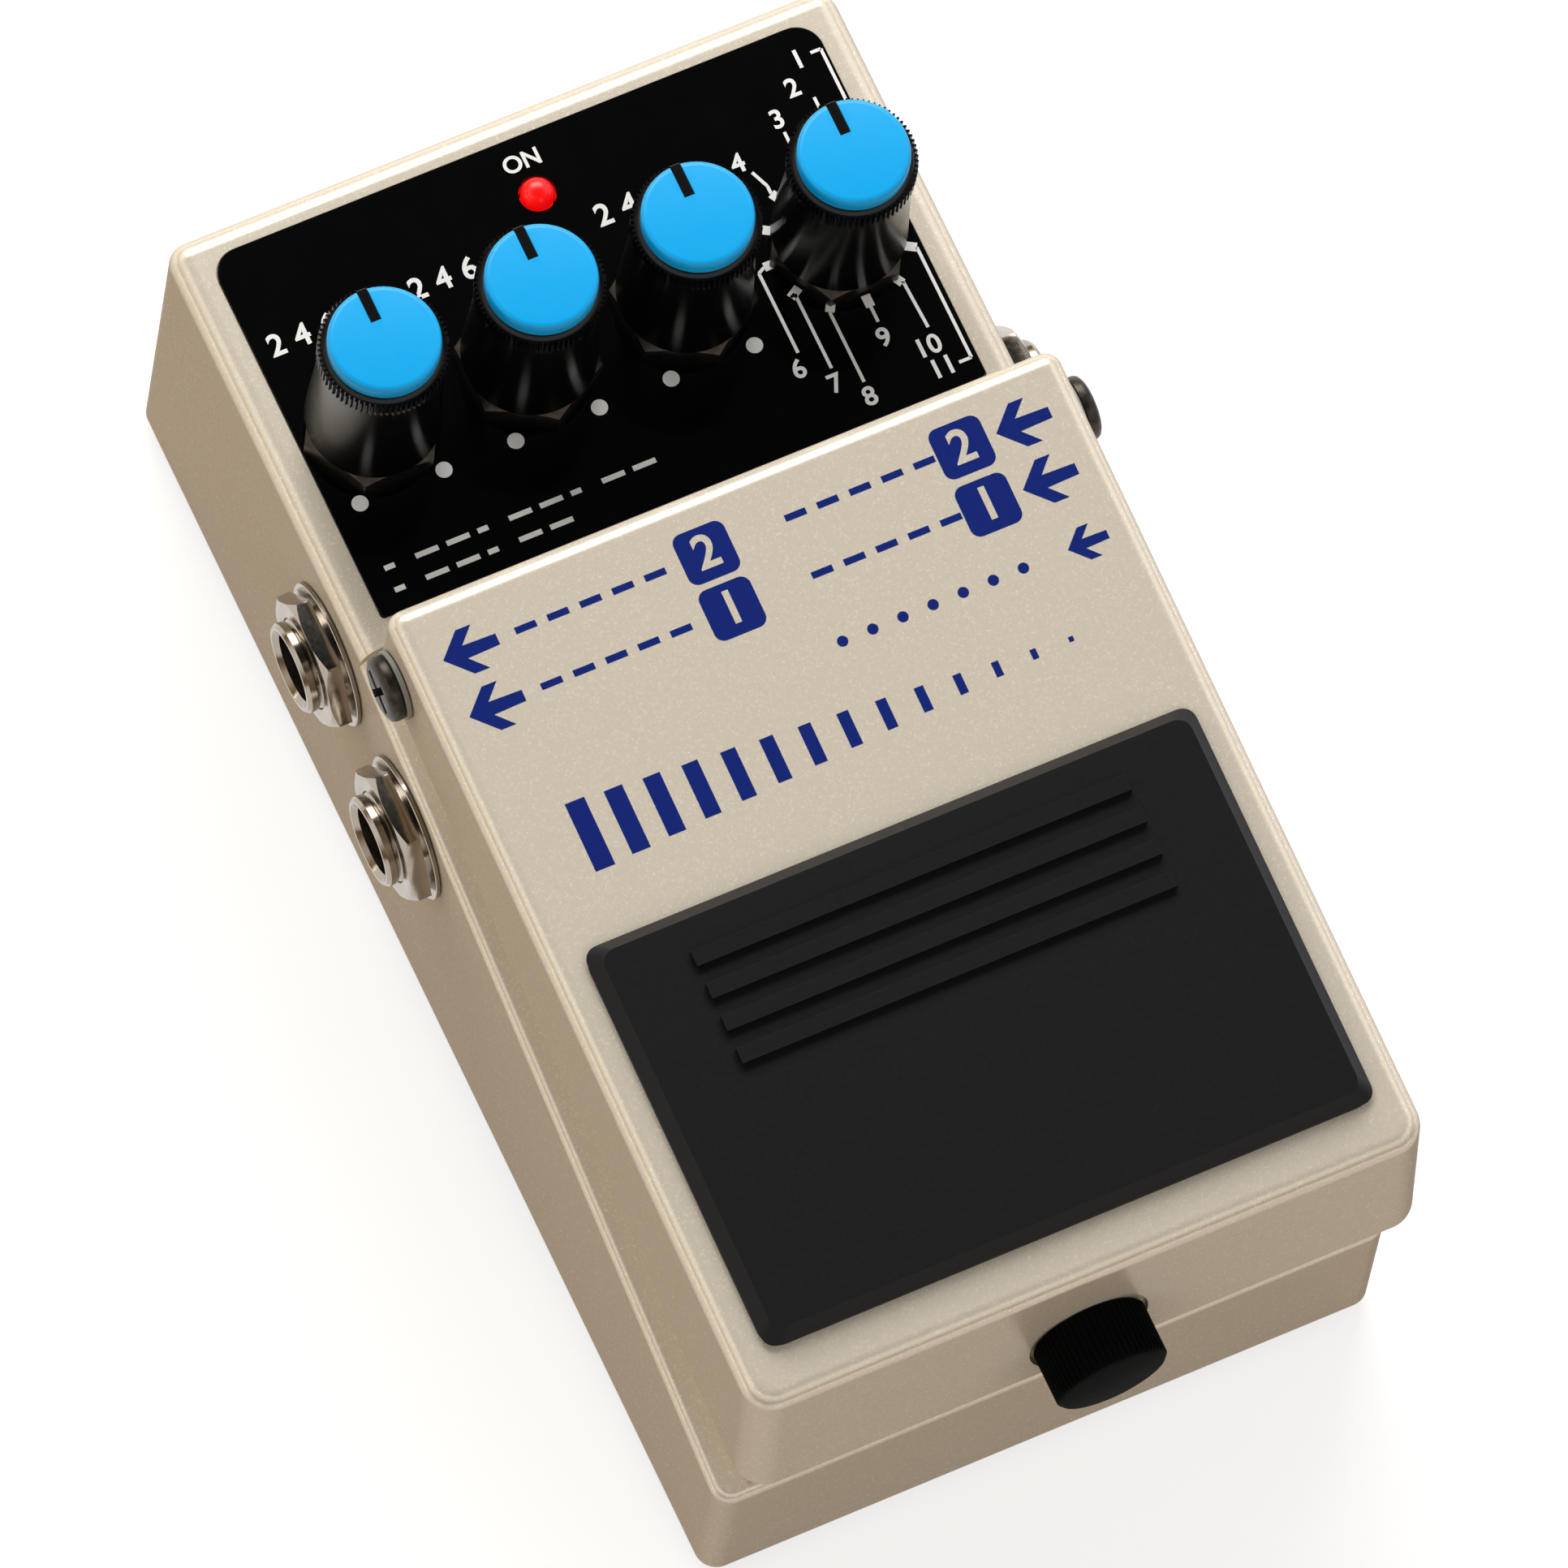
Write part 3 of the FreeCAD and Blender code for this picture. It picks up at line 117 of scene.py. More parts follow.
class PedalSizes(bpy.types.PropertyGroup):
    """Sizes that show in the finish."""

    grain: bpy.props.FloatProperty(
        name="Paint grain", description="Width of one grain of the textured paint",
        default=0.0003, unit="LENGTH")
    # The flakes are real, but their brightness is a painted glint in the enamel's colour
    flake: bpy.props.FloatProperty(
        name="Paint flake", description="Spacing of the bright flakes in the paint",
        default=0.00016, unit="LENGTH")
    knob_teeth: bpy.props.IntProperty(
        name="Knob teeth", description="Teeth round a knob's grip ring", default=72)
    screw_flutes: bpy.props.IntProperty(
        name="Screw flutes", description="Flutes round the thumb screw's head", default=60)
    floor_size: bpy.props.FloatProperty(
        name="Floor", description="Width of the floor", default=4.0, unit="LENGTH")


def add_node(tree, kind, links=None, **settings):
    """Adds one shader node, with its settings, its sockets' values and the links into them."""
    node = tree.nodes.new("ShaderNode" + kind)
    for key, value in settings.items():
        socket = key.replace("_", " ")
        if socket in node.inputs:
            node.inputs[socket].default_value = value
        else:
            setattr(node, key, value)
    for socket, source in (links or {}).items():
        tree.links.new(source, node.inputs[socket])
    return node


def by_place(tree):
    """The link that lays a texture out by the place on the object."""
    return {"Vector": add_node(tree, "TexCoord").outputs["Object"]}


# The colour sockets of a Mix node
MIX_A, MIX_B, MIX_OUT = 6, 7, 2
# Depth of a fine moulded or plated skin, in metres
SKIN = 0.00002
# The enamel's two extremes, as shares of its colour: a darker grain tone, and a lighter flake tone
# that is a painted glint; and how many of the cells are flakes
DEEP = 0.95
FLAKE_GLINT = 1.15
FLAKES_FROM = 0.8


def new_material(name, colour=None, **shader):
    """A material with its shader's own sockets set, and its tree and shader to build on."""
    material = bpy.data.materials.new(name)
    material.use_nodes = True
    tree = material.node_tree
    bsdf = tree.nodes["Principled BSDF"]
    if colour:
        bsdf.inputs["Base Color"].default_value = paint(colour)
    for key, value in shader.items():
        bsdf.inputs[key.replace("_", " ")].default_value = value
    return material, tree, bsdf


def roughened(tree, bsdf, low, high, scale, bump=0.0, depth=0.0):
    """Drifts the roughness on a noise, and may raise a bump on it, to a real depth in metres."""
    noise = add_node(tree, "TexNoise", by_place(tree), Scale=scale)
    spread = add_node(tree, "MapRange", {"Value": noise.outputs["Fac"]}, To_Min=low, To_Max=high)
    tree.links.new(spread.outputs["Result"], bsdf.inputs["Roughness"])
    if depth:
        rise = add_node(tree, "Bump", {"Height": noise.outputs["Fac"]}, Strength=bump,
                        Distance=depth)
        tree.links.new(rise.outputs["Normal"], bsdf.inputs["Normal"])
    return noise


def two_tone(tree, source, socket, first, last):
    """Colours a socket from a ramp between two colours, driven by another socket's value."""
    ramp = add_node(tree, "ValToRGB", {"Fac": source})
    ramp.color_ramp.elements[0].color = paint(first)
    ramp.color_ramp.elements[1].color = paint(last)
    tree.links.new(ramp.outputs["Color"], socket)


def pearl_enamel():
    """Sprayed metallic enamel: warm cream that gleams on rounded edges, fine sand, and tiny flakes
    whose sparkle is painted in as lighter colour.
    """
    sizes = bpy.context.scene.pedal_sizes
    material, tree, bsdf = new_material(
        "sprayed metallic enamel", Metallic=0.3, Specular_IOR_Level=0.0, Coat_Weight=0.04,
        Coat_Roughness=0.08, Specular_Tint=paint("#181410"))
    grains = roughened(tree, bsdf, 0.22, 0.3, 1.0 / sizes.grain, 0.25, SKIN)
    body = paint(bpy.context.scene.pedal_colours.enamel)
    deep, flake_glint_tone = ([min(1.0, c * share) for c in body[:3]] + [1.0] for share in (DEEP, FLAKE_GLINT))
    tone = add_node(tree, "Mix", {"Factor": grains.outputs["Fac"]}, data_type="RGBA")
    tone.inputs[MIX_A].default_value = deep
    tone.inputs[MIX_B].default_value = body
    # Real metal flakes whose sparkle is painted: random cells get a lighter base colour as a
    # painted glint
    cells = add_node(tree, "TexVoronoi", by_place(tree), Scale=1.0 / sizes.flake)
    chance = add_node(tree, "SeparateColor", {"Color": cells.outputs["Color"]})
    bright = add_node(tree, "MapRange", {"Value": chance.outputs["Red"]}, From_Min=FLAKES_FROM)
    lit = add_node(tree, "Mix", {"Factor": bright.outputs["Result"], MIX_A: tone.outputs[MIX_OUT]},
                   data_type="RGBA")
    lit.inputs[MIX_B].default_value = flake_glint_tone
    tree.links.new(lit.outputs[MIX_OUT], bsdf.inputs["Base Color"])
    return material


def black_zinc():
    """Black zinc plate on steel screws: dark, slightly worn and uneven."""
    material, tree, bsdf = new_material("black zinc plate", Metallic=0.9)
    noise = roughened(tree, bsdf, 0.3, 0.5, 1600.0, 0.2, SKIN)
    two_tone(tree, noise.outputs["Fac"], bsdf.inputs["Base Color"], "#1E1B19", "#57504A")
    return material


def red_lens():
    """Diffused red epoxy, lit: saturated red, a little brighter in the middle."""
    material, tree, bsdf = new_material("lit red epoxy", "#F00808", Roughness=0.3,
                                        Emission_Strength=0.75)
    facing = add_node(tree, "LayerWeight", Blend=0.35)
    two_tone(tree, facing.outputs["Facing"], bsdf.inputs["Emission Color"], "#FF1010", "#B00000")
    return material


def circuit_board():
    """Solder mask over glass laminate: dark green with a fine trace pattern."""
    material, tree, bsdf = new_material("solder mask", Roughness=0.3)
    cells = add_node(tree, "TexBrick", by_place(tree), Scale=400.0, Color1=paint("#0E4A22"),
                     Color2=paint("#135A2B"), Mortar=paint("#0A3517"))
    tree.links.new(cells.outputs["Color"], bsdf.inputs["Base Color"])
    return material


def finish(name, colour, *skin, **shader):
    """A material of one colour, whose roughness and bump are given as roughened() takes them."""
    material, tree, bsdf = new_material(name, colour, **shader)
    roughened(tree, bsdf, *skin)
    return material


def metal(name, colour, low, high):
    """Bare or plated metal with a light grain."""
    return finish(name, colour, low, high, 1800.0, 0.1, SKIN, Metallic=1.0)


def plastic(name, colour, low=0.35, high=0.5):
    """Moulded plastic with a light skin."""
    return finish(name, colour, low, high, 1500.0, 0.1, SKIN)


def make_materials():
    """Every finish on the pedal, named for what it is made of and how."""
    colours = bpy.context.scene.pedal_colours
    return {
        "enamel": pearl_enamel(),
        # near black, clear and even, with the faintest ripple
        "panel": finish("gloss black film", "#040404", 0.10, 0.14, 300.0, IOR=1.45),
        # matt ink that stands out on the film, slightly uneven
        "white": finish("white screen print", colours.white, 0.45, 0.6, 1500.0, IOR=1.45),
        # dark ink with less shine than the paint round it
        "blue": finish("blue screen print", colours.ink, 0.35, 0.5, 1500.0, IOR=1.45,
                       Specular_IOR_Level=0.15),
        # blue-black and satin, with a fine even skin
        "pad": finish("moulded nitrile rubber", "#090A0F", 0.42, 0.55, 2600.0, 0.2, 0.00003,
                      Specular_IOR_Level=0.25),
        # matt and a little dusty
        "sheet": finish("ribbed rubber sheet", "#18181A", 0.6, 0.8, 1800.0, 0.4, 0.00005,
                        IOR=1.52),
        # smooth and near black, with one soft clear highlight
        "knob": finish("moulded black ABS", "#060607", 0.22, 0.26, 300.0,
                       Specular_IOR_Level=0.3),
        # spark-eroded for grip: matt, with almost no shine at any angle
        "fluted": finish("textured black nylon", "#0B0B0B", 0.6, 0.75, 2500.0, 0.3, 0.00003,
                         Specular_IOR_Level=0.02),
        # even sky blue, satin and faintly translucent
        "cap": finish("moulded sky blue ABS", colours.caps, 0.3, 0.4, 1400.0,
                      Specular_IOR_Level=0.3, Subsurface_Weight=0.05,
                      Subsurface_Radius=(0.0004, 0.0006, 0.001)),
        # over turned brass: warm grey, fine turning marks, a little dulled
        "nickel": finish("bright nickel plate", "#A79E93", 0.12, 0.26, 2500.0, 0.2, SKIN,
                         Metallic=1.0),
        "black_zinc": black_zinc(),
        "zinc": metal("clear zinc plate", "#B9BCC0", 0.28, 0.42),
        "brass": metal("turned brass", "#C9A04C", 0.22, 0.34),
        "can": metal("drawn aluminium can", "#C6C8CA", 0.25, 0.35),
        "nylon": plastic("moulded nylon", "#8C8A84", 0.4, 0.55),
        "black": plastic("moulded black nylon", "#141415"),
        "chip": plastic("moulded epoxy package", "#1B1C1E", 0.5, 0.65),
        "jacket": plastic("printed steel jacket", "#23262B", 0.25, 0.35),
        "foam": plastic("closed-cell foam", "#3A3B3D", 0.8, 0.95),
        "red_wire": plastic("red lead insulation", "#A81414", 0.35, 0.45),
        "black_wire": plastic("black lead insulation", "#111111", 0.35, 0.45),
        "red_lens": red_lens(),
        "board": circuit_board(),
    }


# Widths of softened edges, in metres
RECESS_EDGE = 0.00004
FINE_EDGE = 0.00006
SOFT_EDGE = 0.00008
SHEET_EDGE = 0.00025
PAD_EDGE = 0.0003
# How close corners are merged, in metres: in new meshes, and in copies of packed ones
WELD = 1e-6
PACKED_WELD = 2e-6


def linked(name, data):
    """A new object in the scene."""
    piece = bpy.data.objects.new(name, data)
    bpy.context.scene.collection.objects.link(piece)
    return piece


def nothing_selected():
    """Leaves edit mode and clears the selection."""
    if bpy.context.object and bpy.context.object.mode != "OBJECT":
        bpy.ops.object.mode_set(mode="OBJECT")
    bpy.ops.object.select_all(action="DESELECT")


def only(piece):
    """Makes a piece the only one selected, and the active one."""
    nothing_selected()
    piece.select_set(True)
    bpy.context.view_layer.objects.active = piece
    return piece


def joined(pieces, name):
    """Several objects as one, named."""
    nothing_selected()
    for piece in pieces:
        piece.select_set(True)
    bpy.context.view_layer.objects.active = pieces[0]
    if len(pieces) > 1:
        bpy.ops.object.join()
    whole = bpy.context.view_layer.objects.active
    whole.name = name
    return whole


def settle(piece):
    """Puts a piece's place, turn and scale into its mesh."""
    only(piece)
    bpy.ops.object.transform_apply()
    return piece


def edit_all(piece):
    """Opens a piece's mesh with all of it selected."""
    only(piece)
    bpy.ops.object.mode_set(mode="EDIT")
    bpy.ops.mesh.select_all(action="SELECT")


def edited():
    """Closes the mesh that is open."""
    bpy.ops.object.mode_set(mode="OBJECT")


def smooth(piece, degrees=35.0):
    """Shades a piece smoothly, but for edges sharper than the angle."""
    only(piece)
    bpy.ops.object.shade_smooth_by_angle(angle=radians(degrees))
    return piece


def modified(piece, kind, **settings):
    """Adds one modifier with its settings and applies it."""
    only(piece)
    modifier = piece.modifiers.new(kind.lower(), kind)
    for key, value in settings.items():
        setattr(modifier, key, value)
    bpy.ops.object.modifier_apply(modifier=modifier.name)
    return piece


def weighted(piece):
    """Lets the large faces keep their own shading, so that the fillets between them show clean."""
    return modified(piece, "WEIGHTED_NORMAL", keep_sharp=True)


def bevelled(piece, width, segments=2, degrees=30.0):
    """Softens the edges sharper than the angle, to a width in metres."""
    return modified(piece, "BEVEL", width=width, segments=segments, limit_method="ANGLE",
                    angle_limit=radians(degrees))


def carved(piece, tool, keep="DIFFERENCE"):
    """Cuts a tool's shape out of a piece, or keeps what lies inside it, and removes the tool."""
    modified(piece, "BOOLEAN", operation=keep, solver="EXACT", object=tool)
    bpy.data.objects.remove(tool)
    return piece


def outward(piece):
    """Merges a new mesh's doubled corners and turns its faces outwards."""
    edit_all(piece)
    bpy.ops.mesh.remove_doubles(threshold=WELD)
    bpy.ops.mesh.normals_make_consistent()
    edited()
    return piece


def fitted(piece, body, material, slot, *replaces):
    """Gives a finished piece its material and body, and hides the imported nodes that it replaces;
    its slot is not used.
    """
    piece.data.materials.clear()
    piece.data.materials.append(MATERIALS[material])
    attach(piece, body)
    if replaces:
        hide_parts(*replaces)
    return piece


def body_of(node):
    """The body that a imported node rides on."""
    return NODES[node]["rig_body"]


def span(node):
    """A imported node's low corner, its high corner and its middle."""
    low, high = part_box(node)
    return low, high, (low + high) / 2


def casting_copy(node, name, degrees=35.0):
    """A merged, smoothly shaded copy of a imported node, for its finish."""
    copy = linked(name, NODES[node].data.copy())
    edit_all(copy)
    bpy.ops.mesh.remove_doubles(threshold=PACKED_WELD)
    edited()
    if "custom_normal" in copy.data.attributes:
        bpy.ops.mesh.customdata_custom_splitnormals_clear()
    return smooth(copy, degrees)


def turned(name, profile, steps=64):
    """A solid spun about the vertical through the origin, from (radius, height) pairs in mm."""
    mesh = bpy.data.meshes.new(name)
    points = [(r * MM, 0.0, z * MM) for r, z in profile]
    mesh.from_pydata(points, [(k, k + 1) for k in range(len(points) - 1)], [])
    piece = linked(name, mesh)
    edit_all(piece)
    bpy.ops.mesh.spin(steps=steps, angle=2 * pi, center=(0, 0, 0), axis=(0, 0, 1))
    edited()
    return outward(piece)


def below(top, pairs):
    """Points of an outline from pairs of a radius and a depth below its top."""
    return [(r, top - deep) for r, deep in pairs]


def toothed_ring(name, outer, inner, teeth, low, high):
    """A ring with upright teeth: a circle with every other pair of corners drawn in, extruded."""
    bpy.ops.mesh.primitive_circle_add(vertices=teeth * 4, radius=outer * MM, fill_type="NGON",
                                      location=(0, 0, low * MM))
    ring = settle(bpy.context.object)
    ring.name = name
    for k, vertex in enumerate(ring.data.vertices):
        if k % 4 in (2, 3):
            vertex.co.x *= inner / outer
            vertex.co.y *= inner / outer
    edit_all(ring)
    bpy.ops.mesh.extrude_region_move(TRANSFORM_OT_translate={"value": (0, 0, (high - low) * MM)})
    edited()
    return outward(ring)


def block(name, low, high):
    """A rectangular block between two corners, in millimetres, about the origin."""
    size = [(b - a) * MM for a, b in zip(low, high)]
    middle = [(a + b) / 2 * MM for a, b in zip(low, high)]
    bpy.ops.mesh.primitive_cube_add(size=1.0, location=middle, scale=size)
    piece = bpy.context.object
    piece.name = name
    return settle(piece)


def copy_at(piece, name, offset):
    """A copy with its own mesh, moved by an offset in metres."""
    copy = linked(name, piece.data.copy())
    copy.data.transform(Matrix.Translation(offset))
    return copy


def tube_along(name, points, radius, smooth_run=True):
    """A round tube on a curve through or towards its points, given in millimetres on the pedal."""
    curve = bpy.data.curves.new(name, "CURVE")
    curve.dimensions = "3D"
    curve.bevel_depth = radius * MM
    curve.use_fill_caps = True
    run = curve.splines.new("NURBS" if smooth_run else "POLY")
    run.points.add(len(points) - 1)
    for spot, point in zip(run.points, points):
        spot.co = (*place(*point), 1.0)
    if smooth_run:
        run.order_u = 3
        run.use_endpoint_u = True
    only(linked(name, curve))
    bpy.ops.object.convert(target="MESH")
    return smooth(outward(bpy.context.object), 60)


def hex_nut(across, thick, face, hole):
    """A nut standing on its seat at the origin, its upper corners turned off, with its hole."""
    corner = across / sqrt(3)
    bpy.ops.mesh.primitive_cylinder_add(vertices=6, radius=corner * MM, depth=thick * MM,
                                        location=(0, 0, thick / 2 * MM))
    nut = settle(bpy.context.object)
    rim = corner + 0.01
    crown = turned("crown", [(0.0, 0.0), (rim, 0.0), (rim, thick - (corner - face) * 0.6),
                             (face, thick), (0.0, thick)], 96)
    nut = carved(nut, crown, "INTERSECT")
    bore = turned("bore", [(0.0, -1.0), (hole, -1.0), (hole, thick + 1.0), (0.0, thick + 1.0)])
    return smooth(bevelled(carved(nut, bore), FINE_EDGE, 2, 20), 25)


class PEDAL_OT_castings(bpy.types.Operator):
    """The enamelled chassis and treadle"""

    bl_idname = "pedal.castings"
    bl_label = "Castings"

    def execute(self, context):
        for node in ("chassis", "treadle"):
            casting = weighted(casting_copy(node, node + "_casting"))
            fitted(casting, body_of(node), "enamel", "cream_paint", node)
        return {"FINISHED"}


LED_R = 1.5
# The lens narrows towards its tip: its radius at each depth below its top
LED_DOME = ((LED_R, 1.35), (1.42, 0.9), (1.18, 0.45), (0.8, 0.17), (0.4, 0.04), (0.0, 0.0))


class PEDAL_OT_panel(bpy.types.Operator):
    """The gloss control plate, with softened edges, and the indicator in it"""

    bl_idname = "pedal.panel"
    bl_label = "Control plate"

    def execute(self, context):
        plate = bevelled(casting_copy("control_plate", "control_plate_film"), SOFT_EDGE)
        fitted(smooth(plate), "case", "panel", "panel_black", "control_plate")
        low, high, middle = span("indicator_led")
        foot, top = low.z / MM, high.z / MM
        outline = [(0.0, foot), (LED_R, foot)] + below(top, LED_DOME)
        lens = turned("indicator_lens", outline, 48)
        lens.data.transform(Matrix.Translation((middle.x, middle.y, 0)))
        fitted(smooth(lens, 50), "case", "red_lens", "led_red", "indicator_led")
        return {"FINISHED"}


def ink_bar(x0, y0, x1, y1, width):
    """A printed stroke between two points of a flat print, in millimetres."""
    run = Vector((x1 - x0, y1 - y0, 0.0))
    middle = Vector(((x0 + x1) / 2, (y0 + y1) / 2, 0.0)) * MM
    bpy.ops.mesh.primitive_cube_add(
        size=1.0, location=middle, rotation=(0, 0, atan2(run.y, run.x)),
        scale=(run.length * MM, width * MM, 2 * INK * MM))
    return settle(bpy.context.object)


def ink_dot(x, y, radius):
    """A printed dot of a flat print."""
    bpy.ops.mesh.primitive_cylinder_add(
        vertices=40, radius=radius * MM, depth=2 * INK * MM, location=(x * MM, y * MM, 0))
    return settle(bpy.context.object)


def ink_number(text, x, y, height):
    """A printed number of a flat print, centred on a point."""
    bpy.ops.object.text_add()
    words = bpy.context.object
    words.data.body = text
    words.data.align_x = words.data.align_y = "CENTER"
    words.data.size = height * 1.4 * MM
    words.data.extrude = INK * MM
    words.data.offset = 0.03 * height * MM
    words.data.resolution_u = 6
    bpy.ops.object.convert(target="MESH")
    words = bpy.context.object
    words.location = (x * MM, y * MM, 0)
    return settle(words)


def ink_badge(x, y, half, corner):
    """A printed square with rounded corners."""
    bpy.ops.mesh.primitive_cube_add(size=1.0, location=(x * MM, y * MM, 0),
                                    scale=(2 * half * MM, 2 * half * MM, 2 * INK * MM))
    badge = settle(bpy.context.object)
    bpy.ops.object.mode_set(mode="EDIT")
    bpy.ops.mesh.select_mode(type="EDGE")
    bpy.ops.mesh.select_all(action="DESELECT")
    edited()
    for edge in badge.data.edges:
        a, b = (badge.data.vertices[v].co for v in edge.vertices)
        edge.select = abs(a.z - b.z) > INK * MM
    bpy.ops.object.mode_set(mode="EDIT")
    bpy.ops.mesh.bevel(offset=corner * MM, segments=6)
    bpy.ops.mesh.select_mode(type="VERT")
    edited()
    return badge


def ink_arrow(tip_x, tip_y, scale):
    """A solid arrow pointing left: a chevron with level ends and a square shaft."""
    half = [(0.0, 0.0), (2.1, 2.12), (3.53, 2.12), (2.08, 0.62), (5.2, 0.53)]
    outline = half + [(x, -y) for x, y in reversed(half[1:])]
    corners = [((tip_x + x * scale) * MM, (tip_y + y * scale) * MM, -INK * MM) for x, y in outline]
    mesh = bpy.data.meshes.new("arrow")
    mesh.from_pydata(corners, [], [list(range(len(corners)))])
    arrow = linked("arrow", mesh)
    edit_all(arrow)
    bpy.ops.mesh.extrude_region_move(TRANSFORM_OT_translate={"value": (0, 0, 2 * INK * MM)})
    edited()
    return outward(arrow)


def ink_dashes(left, back, step, lengths, width):
    """A row of printed dashes, which stand in for words."""
    return [ink_bar(left + step * k, back, left + step * k + long, back, width)
            for k, long in enumerate(lengths)]


def on_panel(pieces, name):
    """Lays a flat print on the control plate."""
    whole = joined(pieces, name)
    whole.data.transform(Matrix.Translation((0, CASE_FRONT, PANEL_FACE)))
    return fitted(whole, "case", "white", "panel_black")


def on_treadle(pieces, name, material, lift=0.0):
    """Lays a flat print on the treadle's sloping top."""
    whole = joined(pieces, name)
    lean = Matrix.Rotation(atan(TREADLE_SLOPE), 4, "X")
    lift_to = Matrix.Translation((0, CASE_FRONT, (TREADLE_RISE + lift) * MM))
    whole.data.transform(lift_to @ lean)
    return fitted(whole, "treadle", material, "cream_paint")


# The panel's print, in millimetres across and back
DOTS = (4.05, 91.55)
DOT_R = 0.76
SCALE_ROW = 108.0
SCALE_START = (4.6, 6.0, 3.0)
SCALE_STEP = 2.5
SCALE_HIGH = 2.1
ON_ROW = 115.5
ON_HIGH = 1.6
NUMBER_HIGH = 1.8
TICK_IN = 5.9
TICK_OUT = 7.1
TICK_WIDE = 0.85
LEADER_WIDE = 0.3
DASH_LEFT = -27.2
DASH_STEP = 3.0
DASH_WIDE = 0.5
# How far back each row lies, and its number of dashes
DASH_ROWS = ((85.1, 9), (82.9, 6))
# The selector's eleven positions: each tick's clock angle, its number's place, its leader's corners
SELECTOR = (
    (60, (26.6, 114.8), ((28.9, 102.6), (28.9, 115.0), (27.9, 115.0))),
    (30, (25.0, 112.5), ((26.4, 104.6), (26.4, 111.0))),
    (0, (22.5, 110.3), ((22.56, 105.2), (22.56, 109.0))),
    (330, (17.5, 107.8), ((19.0, 104.9), (18.3, 106.6))),
    (300, (15.2, 104.2), ()),
    (270, (14.2, 87.9), ((14.8, 97.6), (14.8, 89.4))),
    (240, (16.6, 85.4), ((16.9, 94.6), (16.9, 86.9))),
    (210, (18.9, 83.1), ((19.0, 91.6), (19.0, 84.6))),
    (180, (22.4, 87.7), ((22.56, 90.8), (22.56, 89.3))),
    (150, (25.6, 85.4), ((26.2, 91.9), (26.4, 87.1))),
    (120, (26.0, 83.1), ((28.7, 94.2), (28.7, 83.0), (27.5, 83.0))),
)


class PEDAL_OT_panel_print(bpy.types.Operator):
    """White numbers, ticks, leaders and dots on the control plate"""

    bl_idname = "pedal.panel_print"
    bl_label = "Panel print"

    def execute(self, context):
        ink = []
        for k, start in enumerate(SCALE_START):
            x = KNOB_PITCH * (k - 1.5)
            ink += [ink_dot(x + side * DOTS[0], DOTS[1], DOT_R) for side in (-1, 1)]
            for step, text in enumerate("2468"):
                ink.append(ink_number(text, x - start + SCALE_STEP * step, SCALE_ROW, SCALE_HIGH))
        centre = Vector((KNOB_PITCH * 1.5, KNOB_ROW))
        for number, (clock, spot, corners) in enumerate(SELECTOR, 1):
            a = radians(clock)
            way = Vector((sin(a), cos(a)))
            end = centre + way * TICK_OUT
            ink.append(ink_bar(*(centre + way * TICK_IN), *end, TICK_WIDE))
            route = (tuple(end),) + corners
            ink += [ink_bar(*first, *last, LEADER_WIDE) for first, last in zip(route, route[1:])]
            ink.append(ink_number(str(number), *spot, NUMBER_HIGH))
        ink.append(ink_number("ON", 0.0, ON_ROW, ON_HIGH))
        for back, count in DASH_ROWS:
            lengths = [2.2 if k % 3 else 1.0 for k in range(count)]
            ink += ink_dashes(DASH_LEFT, back, DASH_STEP, lengths, DASH_WIDE)
        on_panel(ink, "panel_print")
        return {"FINISHED"}


# The treadle's print: arrows' tips and scales, badges' middles and numbers, dashes' left ends
ARROWS = ((-29.3, 70.45, 1.0), (-29.3, 64.9, 1.0), (23.95, 70.8, 1.0), (23.95, 65.2, 1.0),
          (25.3, 58.7, 0.74))
BADGES = ((-4.05, 70.6, "2"), (-4.05, 65.1, "1"), (20.65, 70.8, "2"), (20.6, 65.15, "1"))
BADGE_HALF = 2.45
BADGE_CORNER = 0.9
BADGE_NUMBER_HIGH = 3.1
WORDS = ((-22.4, 70.5), (-22.4, 65.0), (3.6, 70.8), (3.6, 65.15))
DOT_START = (3.6, 58.7)
DOT_STEP = 2.9
FADE_BARS = 14
FADE_START = (-24.0, 51.2)
FADE_STEP = 3.55


class PEDAL_OT_treadle_print(bpy.types.Operator):
    """Blue arrows, numbered badges, dots and fading bars on the treadle"""

    bl_idname = "pedal.treadle_print"
    bl_label = "Treadle print"

    def execute(self, context):
        ink = [ink_arrow(*arrow) for arrow in ARROWS]
        ink += [ink_badge(x, y, BADGE_HALF, BADGE_CORNER) for x, y, text in BADGES]
        for left, y in WORDS:
            ink += ink_dashes(left, y, 3.1, [2.0] * 5, 0.62)
        ink += [ink_dot(DOT_START[0] + DOT_STEP * k, DOT_START[1], 0.5) for k in range(7)]
        left, y = FADE_START
        for k in range(FADE_BARS):
            fade = 1.0 - k / FADE_BARS
            x = left + FADE_STEP * k
            ink.append(ink_bar(x, y - 3.3 * fade, x, y + 3.3 * fade, 0.35 + 1.5 * fade))
        on_treadle(ink, "treadle_print", "blue")
        numbers = [ink_number(text, x, y, BADGE_NUMBER_HIGH) for x, y, text in BADGES]
        on_treadle(numbers, "treadle_print_numbers", "enamel", 1.2 * INK)
        return {"FINISHED"}


# How far the moulded pad stays inside its packed outline, in millimetres
PAD_INSET = 0.25
PAD_FRONT_INSET = 0.5


